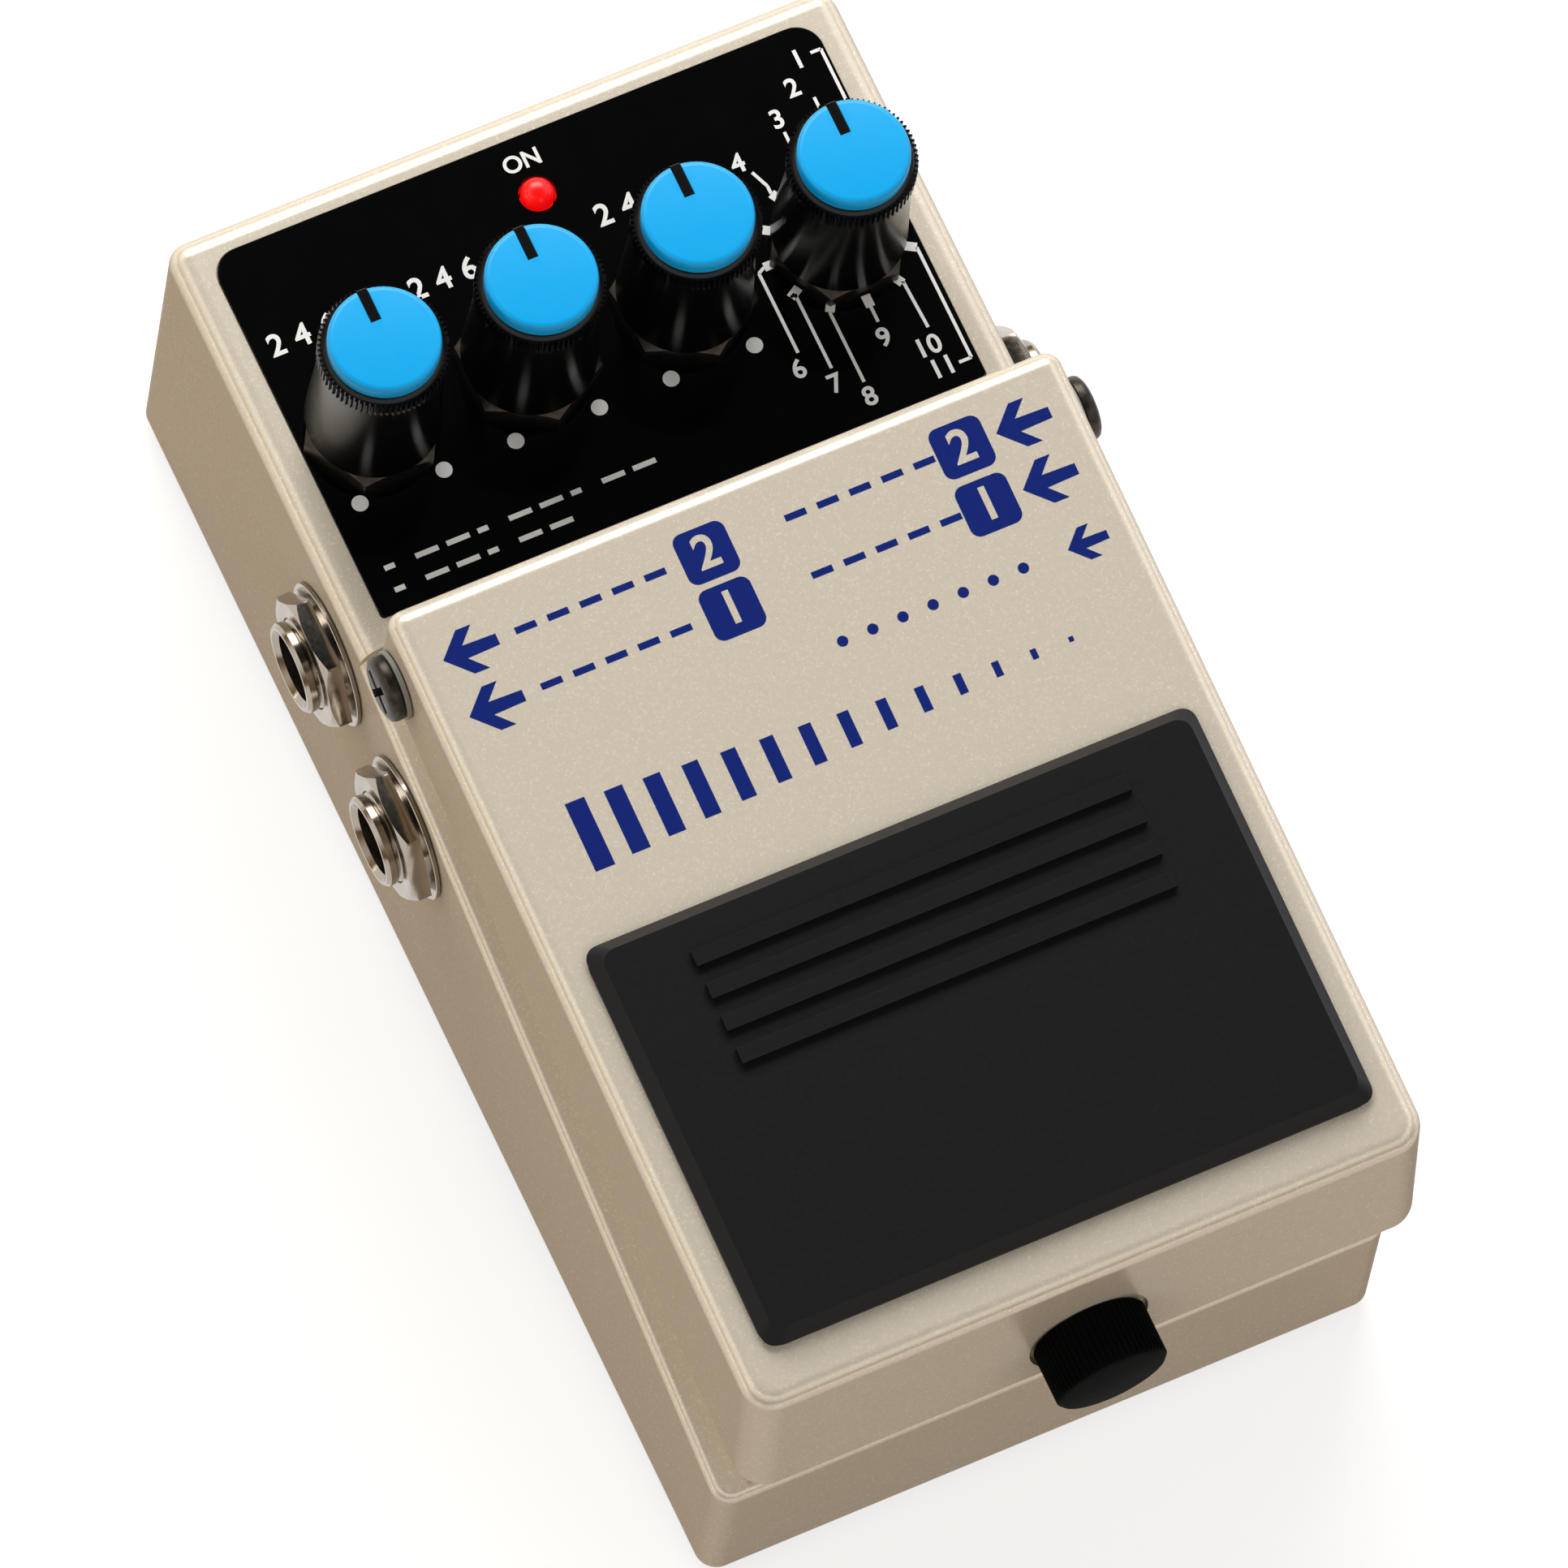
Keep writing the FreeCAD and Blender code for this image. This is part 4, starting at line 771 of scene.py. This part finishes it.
class PEDAL_OT_foot_pad(bpy.types.Operator):
    """The moulded foot pad with its raised bars"""

    bl_idname = "pedal.foot_pad"
    bl_label = "Foot pad"

    def execute(self, context):
        pad = casting_copy("treadle_pad", "foot_pad", 30)
        low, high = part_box("treadle_pad")
        squeeze = 1.0 - PAD_INSET * MM * 2 / (high.x - low.x)
        shorten = 1.0 - PAD_FRONT_INSET * MM / (high.y - low.y)
        for vertex in pad.data.vertices:
            vertex.co.x *= squeeze
            vertex.co.y = high.y - (high.y - vertex.co.y) * shorten
        bevelled(pad, PAD_EDGE, 3, 20)
        fitted(smooth(pad, 50), "treadle", "pad", "pad_rubber", "treadle_pad")
        return {"FINISHED"}


# A knob's radii, and the heights of its parts below its top, in millimetres
FOOT_R = 6.1
NECK_R = 5.4
CAP_R = 5.02
CAP_THICK = 1.5
GRIP_LOW = 4.0
GRIP_HIGH = 1.9
GRIP_R = 5.8
GRIP_ROOT_R = 5.5
POINTER_HALF = 0.46
SLOT_HALF = 0.5
# The cap's rounded rim: how far in from its radius at each depth
CAP_RIM = ((0.0, 0.5), (0.04, 0.3), (0.15, 0.13), (0.33, 0.03), (0.55, 0.0))


def knob_body(foot, top, teeth):
    """The pattern of the four bodies, with fine teeth and the fin that fills the slot."""
    seat, ring_low, ring_high = top - CAP_THICK, top - GRIP_LOW, top - GRIP_HIGH
    body = turned("knob_pattern", [
        (3.0, foot + 2.0), (4.9, foot + 2.0), (5.0, foot), (FOOT_R - 0.3, foot),
        (FOOT_R - 0.08, foot + 0.08), (FOOT_R, foot + 0.3), (NECK_R + 0.05, ring_low - 0.5),
        (NECK_R + 0.1, ring_low), (NECK_R, ring_low + 0.2), (NECK_R, ring_high),
        (CAP_R + 0.12, ring_high + 0.25), (CAP_R - 0.02, seat - 0.1), (CAP_R - 0.2, seat),
        (0.0, seat)], 72)
    ring = toothed_ring("grip", GRIP_R, GRIP_ROOT_R, teeth, ring_low + 0.1, ring_high)
    fin = block("fin", (-POINTER_HALF, CAP_R - 3.2, seat - 0.4),
                (POINTER_HALF, CAP_R - 0.02, top - 0.02))
    bevelled(fin, FINE_EDGE)
    return joined([smooth(body, 40), smooth(ring, 40), fin], "knob_pattern")


def knob_cap(top):
    """The pattern of the four caps."""
    seat = top - CAP_THICK
    rim = below(top, [(CAP_R - inset, deep) for inset, deep in CAP_RIM])
    cap = turned("cap_pattern", [(0.0, seat), (CAP_R, seat)] + rim + [(0.0, top)], 96)
    slot = block("slot", (-SLOT_HALF, CAP_R - 3.25, seat - 1), (SLOT_HALF, 7.0, top + 1))
    return smooth(carved(cap, slot), 30)


class PEDAL_OT_knobs(bpy.types.Operator):
    """The four knobs: body with grip ring and pointer fin, and the slotted cap"""

    bl_idname = "pedal.knobs"
    bl_label = "Knobs"

    def execute(self, context):
        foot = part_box("knob_1_body")[0].z / MM
        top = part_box("knob_1_cap")[1].z / MM
        knob = knob_body(foot, top, context.scene.pedal_sizes.knob_teeth)
        cap = knob_cap(top)
        for k in range(4):
            name = "knob_%d" % (k + 1)
            low, high, middle = span(name + "_body")
            shift = Vector((middle.x, middle.y, 0.0))
            fitted(copy_at(knob, name + "_grip", shift), name, "knob", "knob_black", name + "_body")
            fitted(copy_at(cap, name + "_top", shift), name, "cap", "cap_blue", name + "_cap")
        for pattern in (knob, cap):
            bpy.data.objects.remove(pattern)
        return {"FINISHED"}


# The thumb screw, in millimetres: its head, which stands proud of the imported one, and its shank
HEAD_PROUD = 0.25
HEAD_LONG = 5.5
HEAD_ROOM = 4.5
HEAD_FLOOR = 4.8
FLUTE_DEEP = 0.2
SHANK_R = 2.5
TIP_R = 2.0


class PEDAL_OT_thumb_screw(bpy.types.Operator):
    """The knurled thumb screw in front"""

    bl_idname = "pedal.thumb_screw"
    bl_label = "Thumb screw"

    def execute(self, context):
        flutes = context.scene.pedal_sizes.screw_flutes
        low, high, middle = span("thumb_screw")
        r = (high.x - low.x) / 2 / MM + HEAD_PROUD
        head = toothed_ring("head", r, r - FLUTE_DEEP, flutes, 0.0, HEAD_LONG)
        bound = turned("bound", [
            (0.0, HEAD_FLOOR), (HEAD_ROOM, HEAD_FLOOR), (HEAD_ROOM, HEAD_LONG),
            (r - 0.3, HEAD_LONG), (r + 0.05, HEAD_LONG - 0.4), (r + 0.05, 0.5), (r - 0.3, 0.12),
            (r - 0.7, 0.0), (0.0, 0.0)], 88)
        head = carved(head, bound, "INTERSECT")
        tip = (high.y - low.y) / MM
        shank = turned("shank", [
            (0.0, HEAD_FLOOR - 0.1), (SHANK_R, HEAD_FLOOR - 0.1), (SHANK_R, 8.2), (TIP_R, 8.5),
            (TIP_R, tip - 0.6), (TIP_R - 0.6, tip), (0.0, tip)], 48)
        screw = joined([head, shank], "thumb_screw_turned")
        face_on = Matrix.Rotation(radians(-90), 4, "X")
        screw.data.transform(Matrix.Translation((middle.x, low.y, middle.z)) @ face_on)
        fitted(smooth(screw, 30), "thumb_screw", "fluted", "black_plastic", "thumb_screw")
        return {"FINISHED"}


JACK_OUTER = 4.34
JACK_BORE = 3.25
JACK_PITCH = 0.75
JACK_GROOVE = 0.34
JACK_NUT = 11.6
JACK_NUT_FACE = 5.9
JACK_NUT_DEEP = 1.7
WASHER_R = 6.76
WASHER_THICK = 0.4
WASHER_DEEP = 0.78
LOCK_RING_R = 5.4


def threaded_barrel(start, end):
    """The outline of a jack barrel along its axis: plain root, thread grooves, chamfered mouth."""
    root, mouth = JACK_OUTER - JACK_GROOVE, JACK_OUTER - 0.1
    points = [(JACK_BORE, start), (JACK_OUTER - 0.3, start)]
    z = start
    while z < end - 1.3:
        points += [(root, z), (JACK_OUTER, z + 0.45 * JACK_PITCH),
                   (JACK_OUTER, z + 0.55 * JACK_PITCH)]
        z += JACK_PITCH
    return points + [(root, z), (mouth, z + 0.3), (mouth, end - 0.35), (JACK_OUTER - 0.35, end),
                     (JACK_BORE + 0.42, end), (JACK_BORE, end - 0.5), (JACK_BORE, start)]


def nut_and_washer():
    """A nut, and under it a thin lock ring on a wide plain washer."""
    nut = hex_nut(JACK_NUT, JACK_NUT_DEEP, JACK_NUT_FACE, JACK_OUTER + 0.02)
    foot, rim, inner = -WASHER_DEEP, WASHER_R, JACK_OUTER + 0.11
    face = foot + WASHER_THICK
    washer = turned("washer", [
        (inner, foot), (rim - 0.05, foot), (rim, foot + 0.06), (rim, foot + 0.34),
        (rim - 0.08, face), (LOCK_RING_R, face), (LOCK_RING_R, 0.0), (inner, 0.0),
        (inner, foot)], 96)
    return nut, smooth(washer, 25)


class PEDAL_OT_jacks(bpy.types.Operator):
    """Threaded jack barrels with their nuts and washers"""

    bl_idname = "pedal.jacks"
    bl_label = "Jacks"

    def execute(self, context):
        nuts, washers = [], []
        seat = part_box("jack_nuts")[1].x / MM - JACK_NUT_DEEP
        for node in sorted(NODES):
            if not node.startswith("jack_") or not node.endswith("_barrel"):
                continue
            low, high, middle = span(node)
            side = 1 if middle.x > 0 else -1
            ends = sorted((abs(low.x) / MM, abs(high.x) / MM))
            lie = Matrix.Rotation(radians(90 * side), 4, "Y")
            lie = Matrix.Translation((0, middle.y, middle.z)) @ lie
            barrel = turned(node + "_turned", threaded_barrel(*ends), 56)
            barrel.data.transform(lie)
            fitted(smooth(barrel, 25), "case", "nickel", "nickel", node)
            nut, washer = nut_and_washer()
            for piece, kept in ((nut, nuts), (washer, washers)):
                piece.data.transform(lie @ Matrix.Translation((0, 0, seat * MM)))
                kept.append(piece)
        fitted(joined(nuts, "jack_nuts_turned"), "case", "nickel", "nickel", "jack_nuts")
        fitted(joined(washers, "jack_washers_pressed"), "case", "nickel", "nickel",
               "jack_washers")
        return {"FINISHED"}


# The pivot screws, in millimetres: pan heads with a cross recess, on stepped shanks
PAN_THICK = 1.35
PAN_ROUND = ((3.0, 0.62), (2.86, 0.3), (2.5, 0.08), (2.0, 0.0))
PIVOT_THREAD_R = 1.4
PIVOT_SHOULDER = (1.5, 29.5)
RECESS = (2.0, 0.36)
RECESS_DEEP = 0.8
RECESS_TURN = 20
# The control nuts, and the angle at which each one stopped
CONTROL_NUT = 11.4
CONTROL_NUT_FACE = 5.7
CONTROL_NUT_BORE = 3.52
NUT_TURNS = (30, 0, 4, 30)


def pivot_screws():
    """Pan-head shoulder screws with a wide cross recess, one in each ear."""
    middle = span("pivot_screws")[2]
    places = [abs(v.co.x) / MM for v in NODES["pivot_screws"].data.vertices]
    root, top = min(places), max(places)
    under = top - PAN_THICK
    r, (shoulder_r, shoulder) = PIVOT_THREAD_R, PIVOT_SHOULDER
    head = turned("pivot_screw", [
        (0.0, root), (r - 0.15, root), (r, root + 0.15), (r, shoulder),
        (shoulder_r, shoulder), (shoulder_r, under), (2.9, under), (3.0, under + 0.1)]
        + below(top, PAN_ROUND) + [(0.0, top)])
    for wide, deep in (RECESS, RECESS[::-1]):
        slot = block("slot", (-wide, -deep, top - RECESS_DEEP), (wide, deep, top + 1.0))
        head = carved(head, slot)
    head = smooth(bevelled(head, RECESS_EDGE, 2, 40))
    screws = []
    lean = Matrix.Rotation(radians(RECESS_TURN), 4, "X")
    for side in (-1, 1):
        screw = copy_at(head, "pivot_screw_%d" % side, Vector())
        lie = lean @ Matrix.Rotation(radians(90 * side), 4, "Y")
        screw.data.transform(Matrix.Translation((0, middle.y, middle.z)) @ lie)
        screws.append(screw)
    bpy.data.objects.remove(head)
    fitted(joined(screws, "pivot_screws_pan"), body_of("pivot_screws"), "black_zinc",
           "dark_steel", "pivot_screws")


def control_nuts():
    """The nut under each knob, each stopped at its own angle."""
    low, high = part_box("control_nuts")
    nut = hex_nut(CONTROL_NUT, (high.z - low.z) / MM, CONTROL_NUT_FACE, CONTROL_NUT_BORE)
    nuts = []
    for k, turn in enumerate(NUT_TURNS):
        middle = span("knob_%d_body" % (k + 1))[2]
        copy = copy_at(nut, "control_nut_%d" % (k + 1), Vector())
        spot = Matrix.Translation((middle.x, middle.y, low.z))
        copy.data.transform(spot @ Matrix.Rotation(radians(turn), 4, "Z"))
        nuts.append(copy)
    bpy.data.objects.remove(nut)
    fitted(joined(nuts, "control_nuts_turned"), "case", "black_zinc", "dark_steel", "control_nuts")


class PEDAL_OT_fasteners(bpy.types.Operator):
    """Pivot screws and bushes, control nuts and base screws"""

    bl_idname = "pedal.fasteners"
    bl_label = "Fasteners"

    def execute(self, context):
        pivot_screws()
        control_nuts()
        finishes = {
            "bottom_screws": ("black_zinc", "dark_steel"),
            "pivot_bushes": ("nylon", "nylon_grey"),
            "thumb_screw_washer": ("nylon", "nylon_grey"),
            "footswitch_nut": ("zinc", "steel"),
        }
        for node, (material, slot) in finishes.items():
            piece = bevelled(casting_copy(node, node + "_edged", 30), SOFT_EDGE)
            fitted(smooth(piece), body_of(node), material, slot, node)
        return {"FINISHED"}


# The return spring, in millimetres: its axis, radii, first and last centre, and closed pitch
SPRING_BACK = 61.0
COIL_R = 5.55
WIRE_R = 0.45
SPRING_FOOT = 34.45
SPRING_TOP = 48.15
CLOSED_PITCH = 1.45
TURNS = 5
STEPS = 40
# The plunger's neck, from its seat to its tip, in millimetres
PLUNGER_NECK = 2.6
# The foam: the shares by which its sides draw in, and its top edges' fall in millimetres
FOAM_CUTS = 15
FOAM_PULL = 0.02
FOAM_TUCK = 0.035
FOAM_FALL = 0.35
# The battery's leads, and how far the second lies from the first
LEAD_X = 22.5
LEAD_R = 0.6
LEAD_SHIFTS = (("red", 0.0), ("black", 1.4))


def return_spring():
    """Round wire: a closed turn at each end and three open turns between."""
    live_pitch = (SPRING_TOP - SPRING_FOOT - 2 * CLOSED_PITCH) / (TURNS - 2)
    points = []
    for k in range(TURNS * STEPS + 1):
        t = k / STEPS
        live = min(max(t - 1.0, 0.0), TURNS - 2.0)
        rise = CLOSED_PITCH * (t - live) + live_pitch * live
        a = 2 * pi * t
        points.append((COIL_R * cos(a), SPRING_BACK + COIL_R * sin(a),
                       SPRING_FOOT + rise))
    coil = tube_along("return_spring_wire", points, WIRE_R, smooth_run=False)
    fitted(coil, "pivot_bushes", "zinc", "steel", "return_spring")
    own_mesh(coil)


def plunger():
    """A turned rubber plunger with a rounded tip and a moulding bead."""
    low, high, middle = span("switch_plunger")
    foot, top = low.z / MM, high.z / MM
    seat = top - PLUNGER_NECK
    piece = turned("switch_plunger_rubber", [
        (0.0, foot), (1.5, foot), (2.1, foot + 0.12), (2.6, foot + 0.45), (2.92, foot + 0.95),
        (3.0, foot + 1.5), (3.0, seat - 1.2), (2.85, seat - 1.05), (2.85, seat - 0.8),
        (3.0, seat - 0.65), (3.0, seat - 0.12), (2.88, seat), (1.6, seat), (1.6, top - 0.2),
        (1.4, top), (0.0, top)], 56)
    piece.data.transform(Matrix.Translation((middle.x, middle.y, 0)))
    fitted(smooth(piece, 40), "treadle", "sheet", "base_rubber", "switch_plunger")


def base_sheet():
    """The rubber sheet glued under the base, with softened edges."""
    sheet = bevelled(casting_copy("rubber_base_sheet", "rubber_base_skin", 30), SHEET_EDGE, 3, 40)
    fitted(smooth(sheet, 40), "case", "sheet", "base_rubber", "rubber_base_sheet")


def battery_foam():
    """A strip of foam under the battery: flat on top, its sides drawn in between corners."""
    low, high, middle = span("battery_foam")
    half = (high - low) / 2
    strip = block("battery_foam_strip", [c / MM for c in low], [c / MM for c in high])
    edit_all(strip)
    bpy.ops.mesh.subdivide(number_cuts=FOAM_CUTS)
    edited()
    for vertex in strip.data.vertices:
        out = [(vertex.co[k] - middle[k]) / half[k] for k in range(3)]
        waist = 1.0 - 0.5 * out[2] ** 2
        fall = FOAM_FALL * MM * max(abs(out[0]) ** 14, abs(out[1]) ** 14)
        pull = 1.0 - FOAM_PULL * (1.0 - out[1] ** 2) * waist
        tuck = 1.0 - FOAM_TUCK * (1.0 - out[0] ** 2) * waist
        vertex.co.x = middle.x + out[0] * half.x * pull
        vertex.co.y = middle.y + out[1] * half.y * tuck
        vertex.co.z -= fall * max(out[2], 0.0)
    fitted(smooth(strip, 60), "case", "foam", "foam_grey", "battery_foam")


def battery_leads():
    """The battery's two leads, from the snap through the bay's wall to the board."""
    for colour, s in LEAD_SHIFTS:
        start, end = LEAD_X - s, LEAD_X - 1.0 - 1.6 * s
        route = [(start, 31.85, 16.25 + s), (start, 36.65, 16.25 + s),
                 (LEAD_X - 0.6 - 1.2 * s, 42.85, 13.0 + 0.3 * s), (end, 47.4, 9.0),
                 (end, 52.6, 9.0)]
        lead = tube_along("battery_lead_%s_wire" % colour, route, LEAD_R)
        fitted(lead, "case", colour + "_wire", "lead_" + colour, "battery_lead_" + colour)


class PEDAL_OT_soft_pieces(bpy.types.Operator):
    """The return spring, the rubber plunger and base sheet, the battery's foam and its two leads"""

    bl_idname = "pedal.soft_pieces"
    bl_label = "Spring and soft pieces"

    def execute(self, context):
        return_spring()
        plunger()
        base_sheet()
        battery_foam()
        battery_leads()
        return {"FINISHED"}


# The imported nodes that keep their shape, by finish
WORKS = {
    "zinc": ("bottom_plate", "pot_bodies", "selector_switch_body", "board_screws",
             "knob_1_shaft", "knob_2_shaft", "knob_3_shaft", "knob_4_shaft"),
    "black": ("footswitch_body", "jack_housings", "dc_inlet", "battery_snap"),
    "nylon": ("footswitch_button", "battery_lead_block"),
    "board": ("control_board", "main_board"), "chip": ("main_board_chips",),
    "can": ("main_board_capacitors",), "nickel": ("dc_inlet_pin",),
    "brass": ("thumb_screw_bush",), "jacket": ("battery",),
}


class PEDAL_OT_works(bpy.types.Operator):
    """The pieces inside and underneath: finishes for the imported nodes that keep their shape"""

    bl_idname = "pedal.works"
    bl_label = "Works"

    def execute(self, context):
        for material, nodes in WORKS.items():
            for node in nodes:
                data = NODES[node].data
                data.materials.clear()
                data.materials.append(MATERIALS[material])
        return {"FINISHED"}


# The photograph's camera: degrees, millimetres, and the frame's pixels to a millimetre
LOOK_AT = (0.0, 60.0, 20.0)
AZIMUTH = -35.754
ELEVATION = 68.232
ROLL = 11.676
DISTANCE = 1914.9
SLIDE = (1.152, -0.857)
FOCAL = 13.976
SENSOR = 36.0
FRAME_PIXELS = 1932
# The floor lies a hair below the rubber sheet, so that the two don't meet in one plane
FLOOR_GAP = 0.0001
# Each lamp: place, width and height in metres, power, colour, whether it lights matt surfaces
LAMPS = (
    ("rear_box", (0.22, 0.86, 0.72), 1.0, 0.6, 11.2, "#FFFDF8", True),
    ("left_strip", (-1.1, 0.35, 0.07), 1.6, 0.03, 1.6, "#FFF4E2", True),
    ("right_strip", (1.1, 0.35, 0.09), 1.6, 0.02, 2.2, "#CADCFF", True),
    ("front_strip", (0.25, -1.1, 0.05), 1.6, 0.014, 1.0, "#FFF6F0", False),
)
LAMPS_AIM = (0, 0, 0.03)
# The tent's colour by height, from the horizon to straight overhead
TENT = ((0.0, "#3A2C10"), (0.25, "#806430"), (0.5, "#FFFDF8"), (0.70, "#FFFFFF"),
        (0.82, "#3A3A3A"), (1.0, "#161616"))
TENT_STRENGTH = 1.25
PAPER_GLOW = 0.68


def floor_paper():
    """Paper that looks white, in reflections too, and lights the pedal warmly."""
    material = bpy.data.materials.new("background paper")
    material.use_nodes = True
    tree = material.node_tree
    tree.nodes.clear()
    white = add_node(tree, "BsdfDiffuse", Color=paint("#B4B4B4"))
    glow = add_node(tree, "Emission", Strength=PAPER_GLOW)
    seen = add_node(tree, "AddShader", {0: white.outputs[0], 1: glow.outputs[0]})
    warm = add_node(tree, "BsdfDiffuse", Color=paint("#85602A"))
    path = add_node(tree, "LightPath")
    shown = path.outputs["Is Camera Ray"]
    for ray in ("Is Glossy Ray", "Is Transmission Ray"):
        shown = add_node(tree, "Math", {0: shown, 1: path.outputs[ray]},
                         operation="MAXIMUM").outputs[0]
    mix = add_node(tree, "MixShader", {0: shown, 1: warm.outputs[0], 2: seen.outputs[0]})
    add_node(tree, "OutputMaterial", {"Surface": mix.outputs[0]})
    return material


def add_lamps():
    """Thin strips on the horizon draw lines along the edges; a box lights the rear ones."""
    for name, where, wide, tall, power, colour, lights_all in LAMPS:
        lamp = bpy.data.lights.new(name, "AREA")
        lamp.shape = "RECTANGLE"
        lamp.size = wide
        lamp.size_y = tall
        lamp.energy = power
        lamp.color = paint(colour)[:3]
        holder = linked(name, lamp)
        holder.location = where
        aim = Vector(LAMPS_AIM) - Vector(where)
        holder.rotation_euler = aim.to_track_quat("-Z", "Y").to_euler()
        holder.visible_diffuse = lights_all


def light_tent(scene):
    """A light tent: warm low down, neutral above, open and dark overhead."""
    world = bpy.data.worlds.new("light tent")
    scene.world = world
    world.use_nodes = True
    tree = world.node_tree
    way = add_node(tree, "TexCoord")
    parts = add_node(tree, "SeparateXYZ", {"Vector": way.outputs["Generated"]})
    ramp = add_node(tree, "ValToRGB", {"Fac": parts.outputs["Z"]})
    while len(ramp.color_ramp.elements) < len(TENT):
        ramp.color_ramp.elements.new(0.5)
    for element, (position, colour) in zip(ramp.color_ramp.elements, TENT):
        element.position = position
        element.color = paint(colour)
    sky = tree.nodes["Background"]
    tree.links.new(ramp.outputs["Color"], sky.inputs["Color"])
    sky.inputs["Strength"].default_value = TENT_STRENGTH


def photo_camera(scene):
    """A long lens, set so that the frame is the photograph's."""
    az, el, roll = (radians(v) for v in (AZIMUTH, ELEVATION, ROLL))
    back = Vector((sin(az) * cos(el), -cos(az) * cos(el), sin(el)))
    right = Vector((0, 0, 1)).cross(back).normalized()
    above = back.cross(right)
    across = right * cos(roll) + above * sin(roll)
    upward = above * cos(roll) - right * sin(roll)
    lens = bpy.data.cameras.new("photo_camera")
    lens.sensor_width = SENSOR
    lens.sensor_fit = "HORIZONTAL"
    lens.lens = SENSOR * FOCAL * DISTANCE / FRAME_PIXELS
    lens.clip_end = 20.0
    holder = linked("photo_camera", lens)
    eye = place(*LOOK_AT) + (back * DISTANCE + across * SLIDE[0] + upward * SLIDE[1]) * MM
    turn = Matrix((across, upward, back)).transposed().to_4x4()
    holder.matrix_world = Matrix.Translation(eye) @ turn
    scene.camera = holder


class PEDAL_OT_stage(bpy.types.Operator):
    """Floor, soft studio light and the camera at the photograph's angle"""

    bl_idname = "pedal.stage"
    bl_label = "Stage"

    def execute(self, context):
        scene = context.scene
        scene.view_settings.view_transform = "Standard"
        bpy.ops.mesh.primitive_plane_add(size=scene.pedal_sizes.floor_size,
                                         location=(0, 0, -FLOOR_GAP))
        floor = settle(bpy.context.object)
        floor.name = "floor"
        floor.data.materials.append(floor_paper())
        add_lamps()
        light_tent(scene)
        photo_camera(scene)
        return {"FINISHED"}


class PEDAL_PT_sidebar(bpy.types.Panel):
    """Lists the pedal's colours, sizes and pieces"""

    bl_idname = "PEDAL_PT_sidebar"
    bl_label = "Delay Pedal"
    bl_space_type = "VIEW_3D"
    bl_region_type = "UI"
    bl_category = "Delay Pedal"

    def draw(self, context):
        column = self.layout.column()
        for name in PedalColours.__annotations__:
            column.prop(context.scene.pedal_colours, name)
        for name in PedalSizes.__annotations__:
            column.prop(context.scene.pedal_sizes, name)
        for operator in OPERATORS:
            column.operator(operator.bl_idname)


OPERATORS = (
    PEDAL_OT_stage,
    PEDAL_OT_castings,
    PEDAL_OT_panel,
    PEDAL_OT_panel_print,
    PEDAL_OT_treadle_print,
    PEDAL_OT_foot_pad,
    PEDAL_OT_knobs,
    PEDAL_OT_thumb_screw,
    PEDAL_OT_jacks,
    PEDAL_OT_fasteners,
    PEDAL_OT_soft_pieces,
    PEDAL_OT_works,
)
CLASSES = (PedalColours, PedalSizes) + OPERATORS + (PEDAL_PT_sidebar,)
MATERIALS = {}


def register():
    """Adds the panel, the operators and the settings."""
    for item in CLASSES:
        bpy.utils.register_class(item)
    bpy.types.Scene.pedal_colours = bpy.props.PointerProperty(type=PedalColours)
    bpy.types.Scene.pedal_sizes = bpy.props.PointerProperty(type=PedalSizes)


def unregister():
    """Removes what register() added."""
    del bpy.types.Scene.pedal_sizes
    del bpy.types.Scene.pedal_colours
    for item in reversed(CLASSES):
        bpy.utils.unregister_class(item)


def main():
    """Builds the whole pedal."""
    register()
    MATERIALS.update(make_materials())
    for operator in OPERATORS:
        group, name = operator.bl_idname.split(".")
        getattr(getattr(bpy.ops, group), name)()


if __name__ == "__main__":
    main()
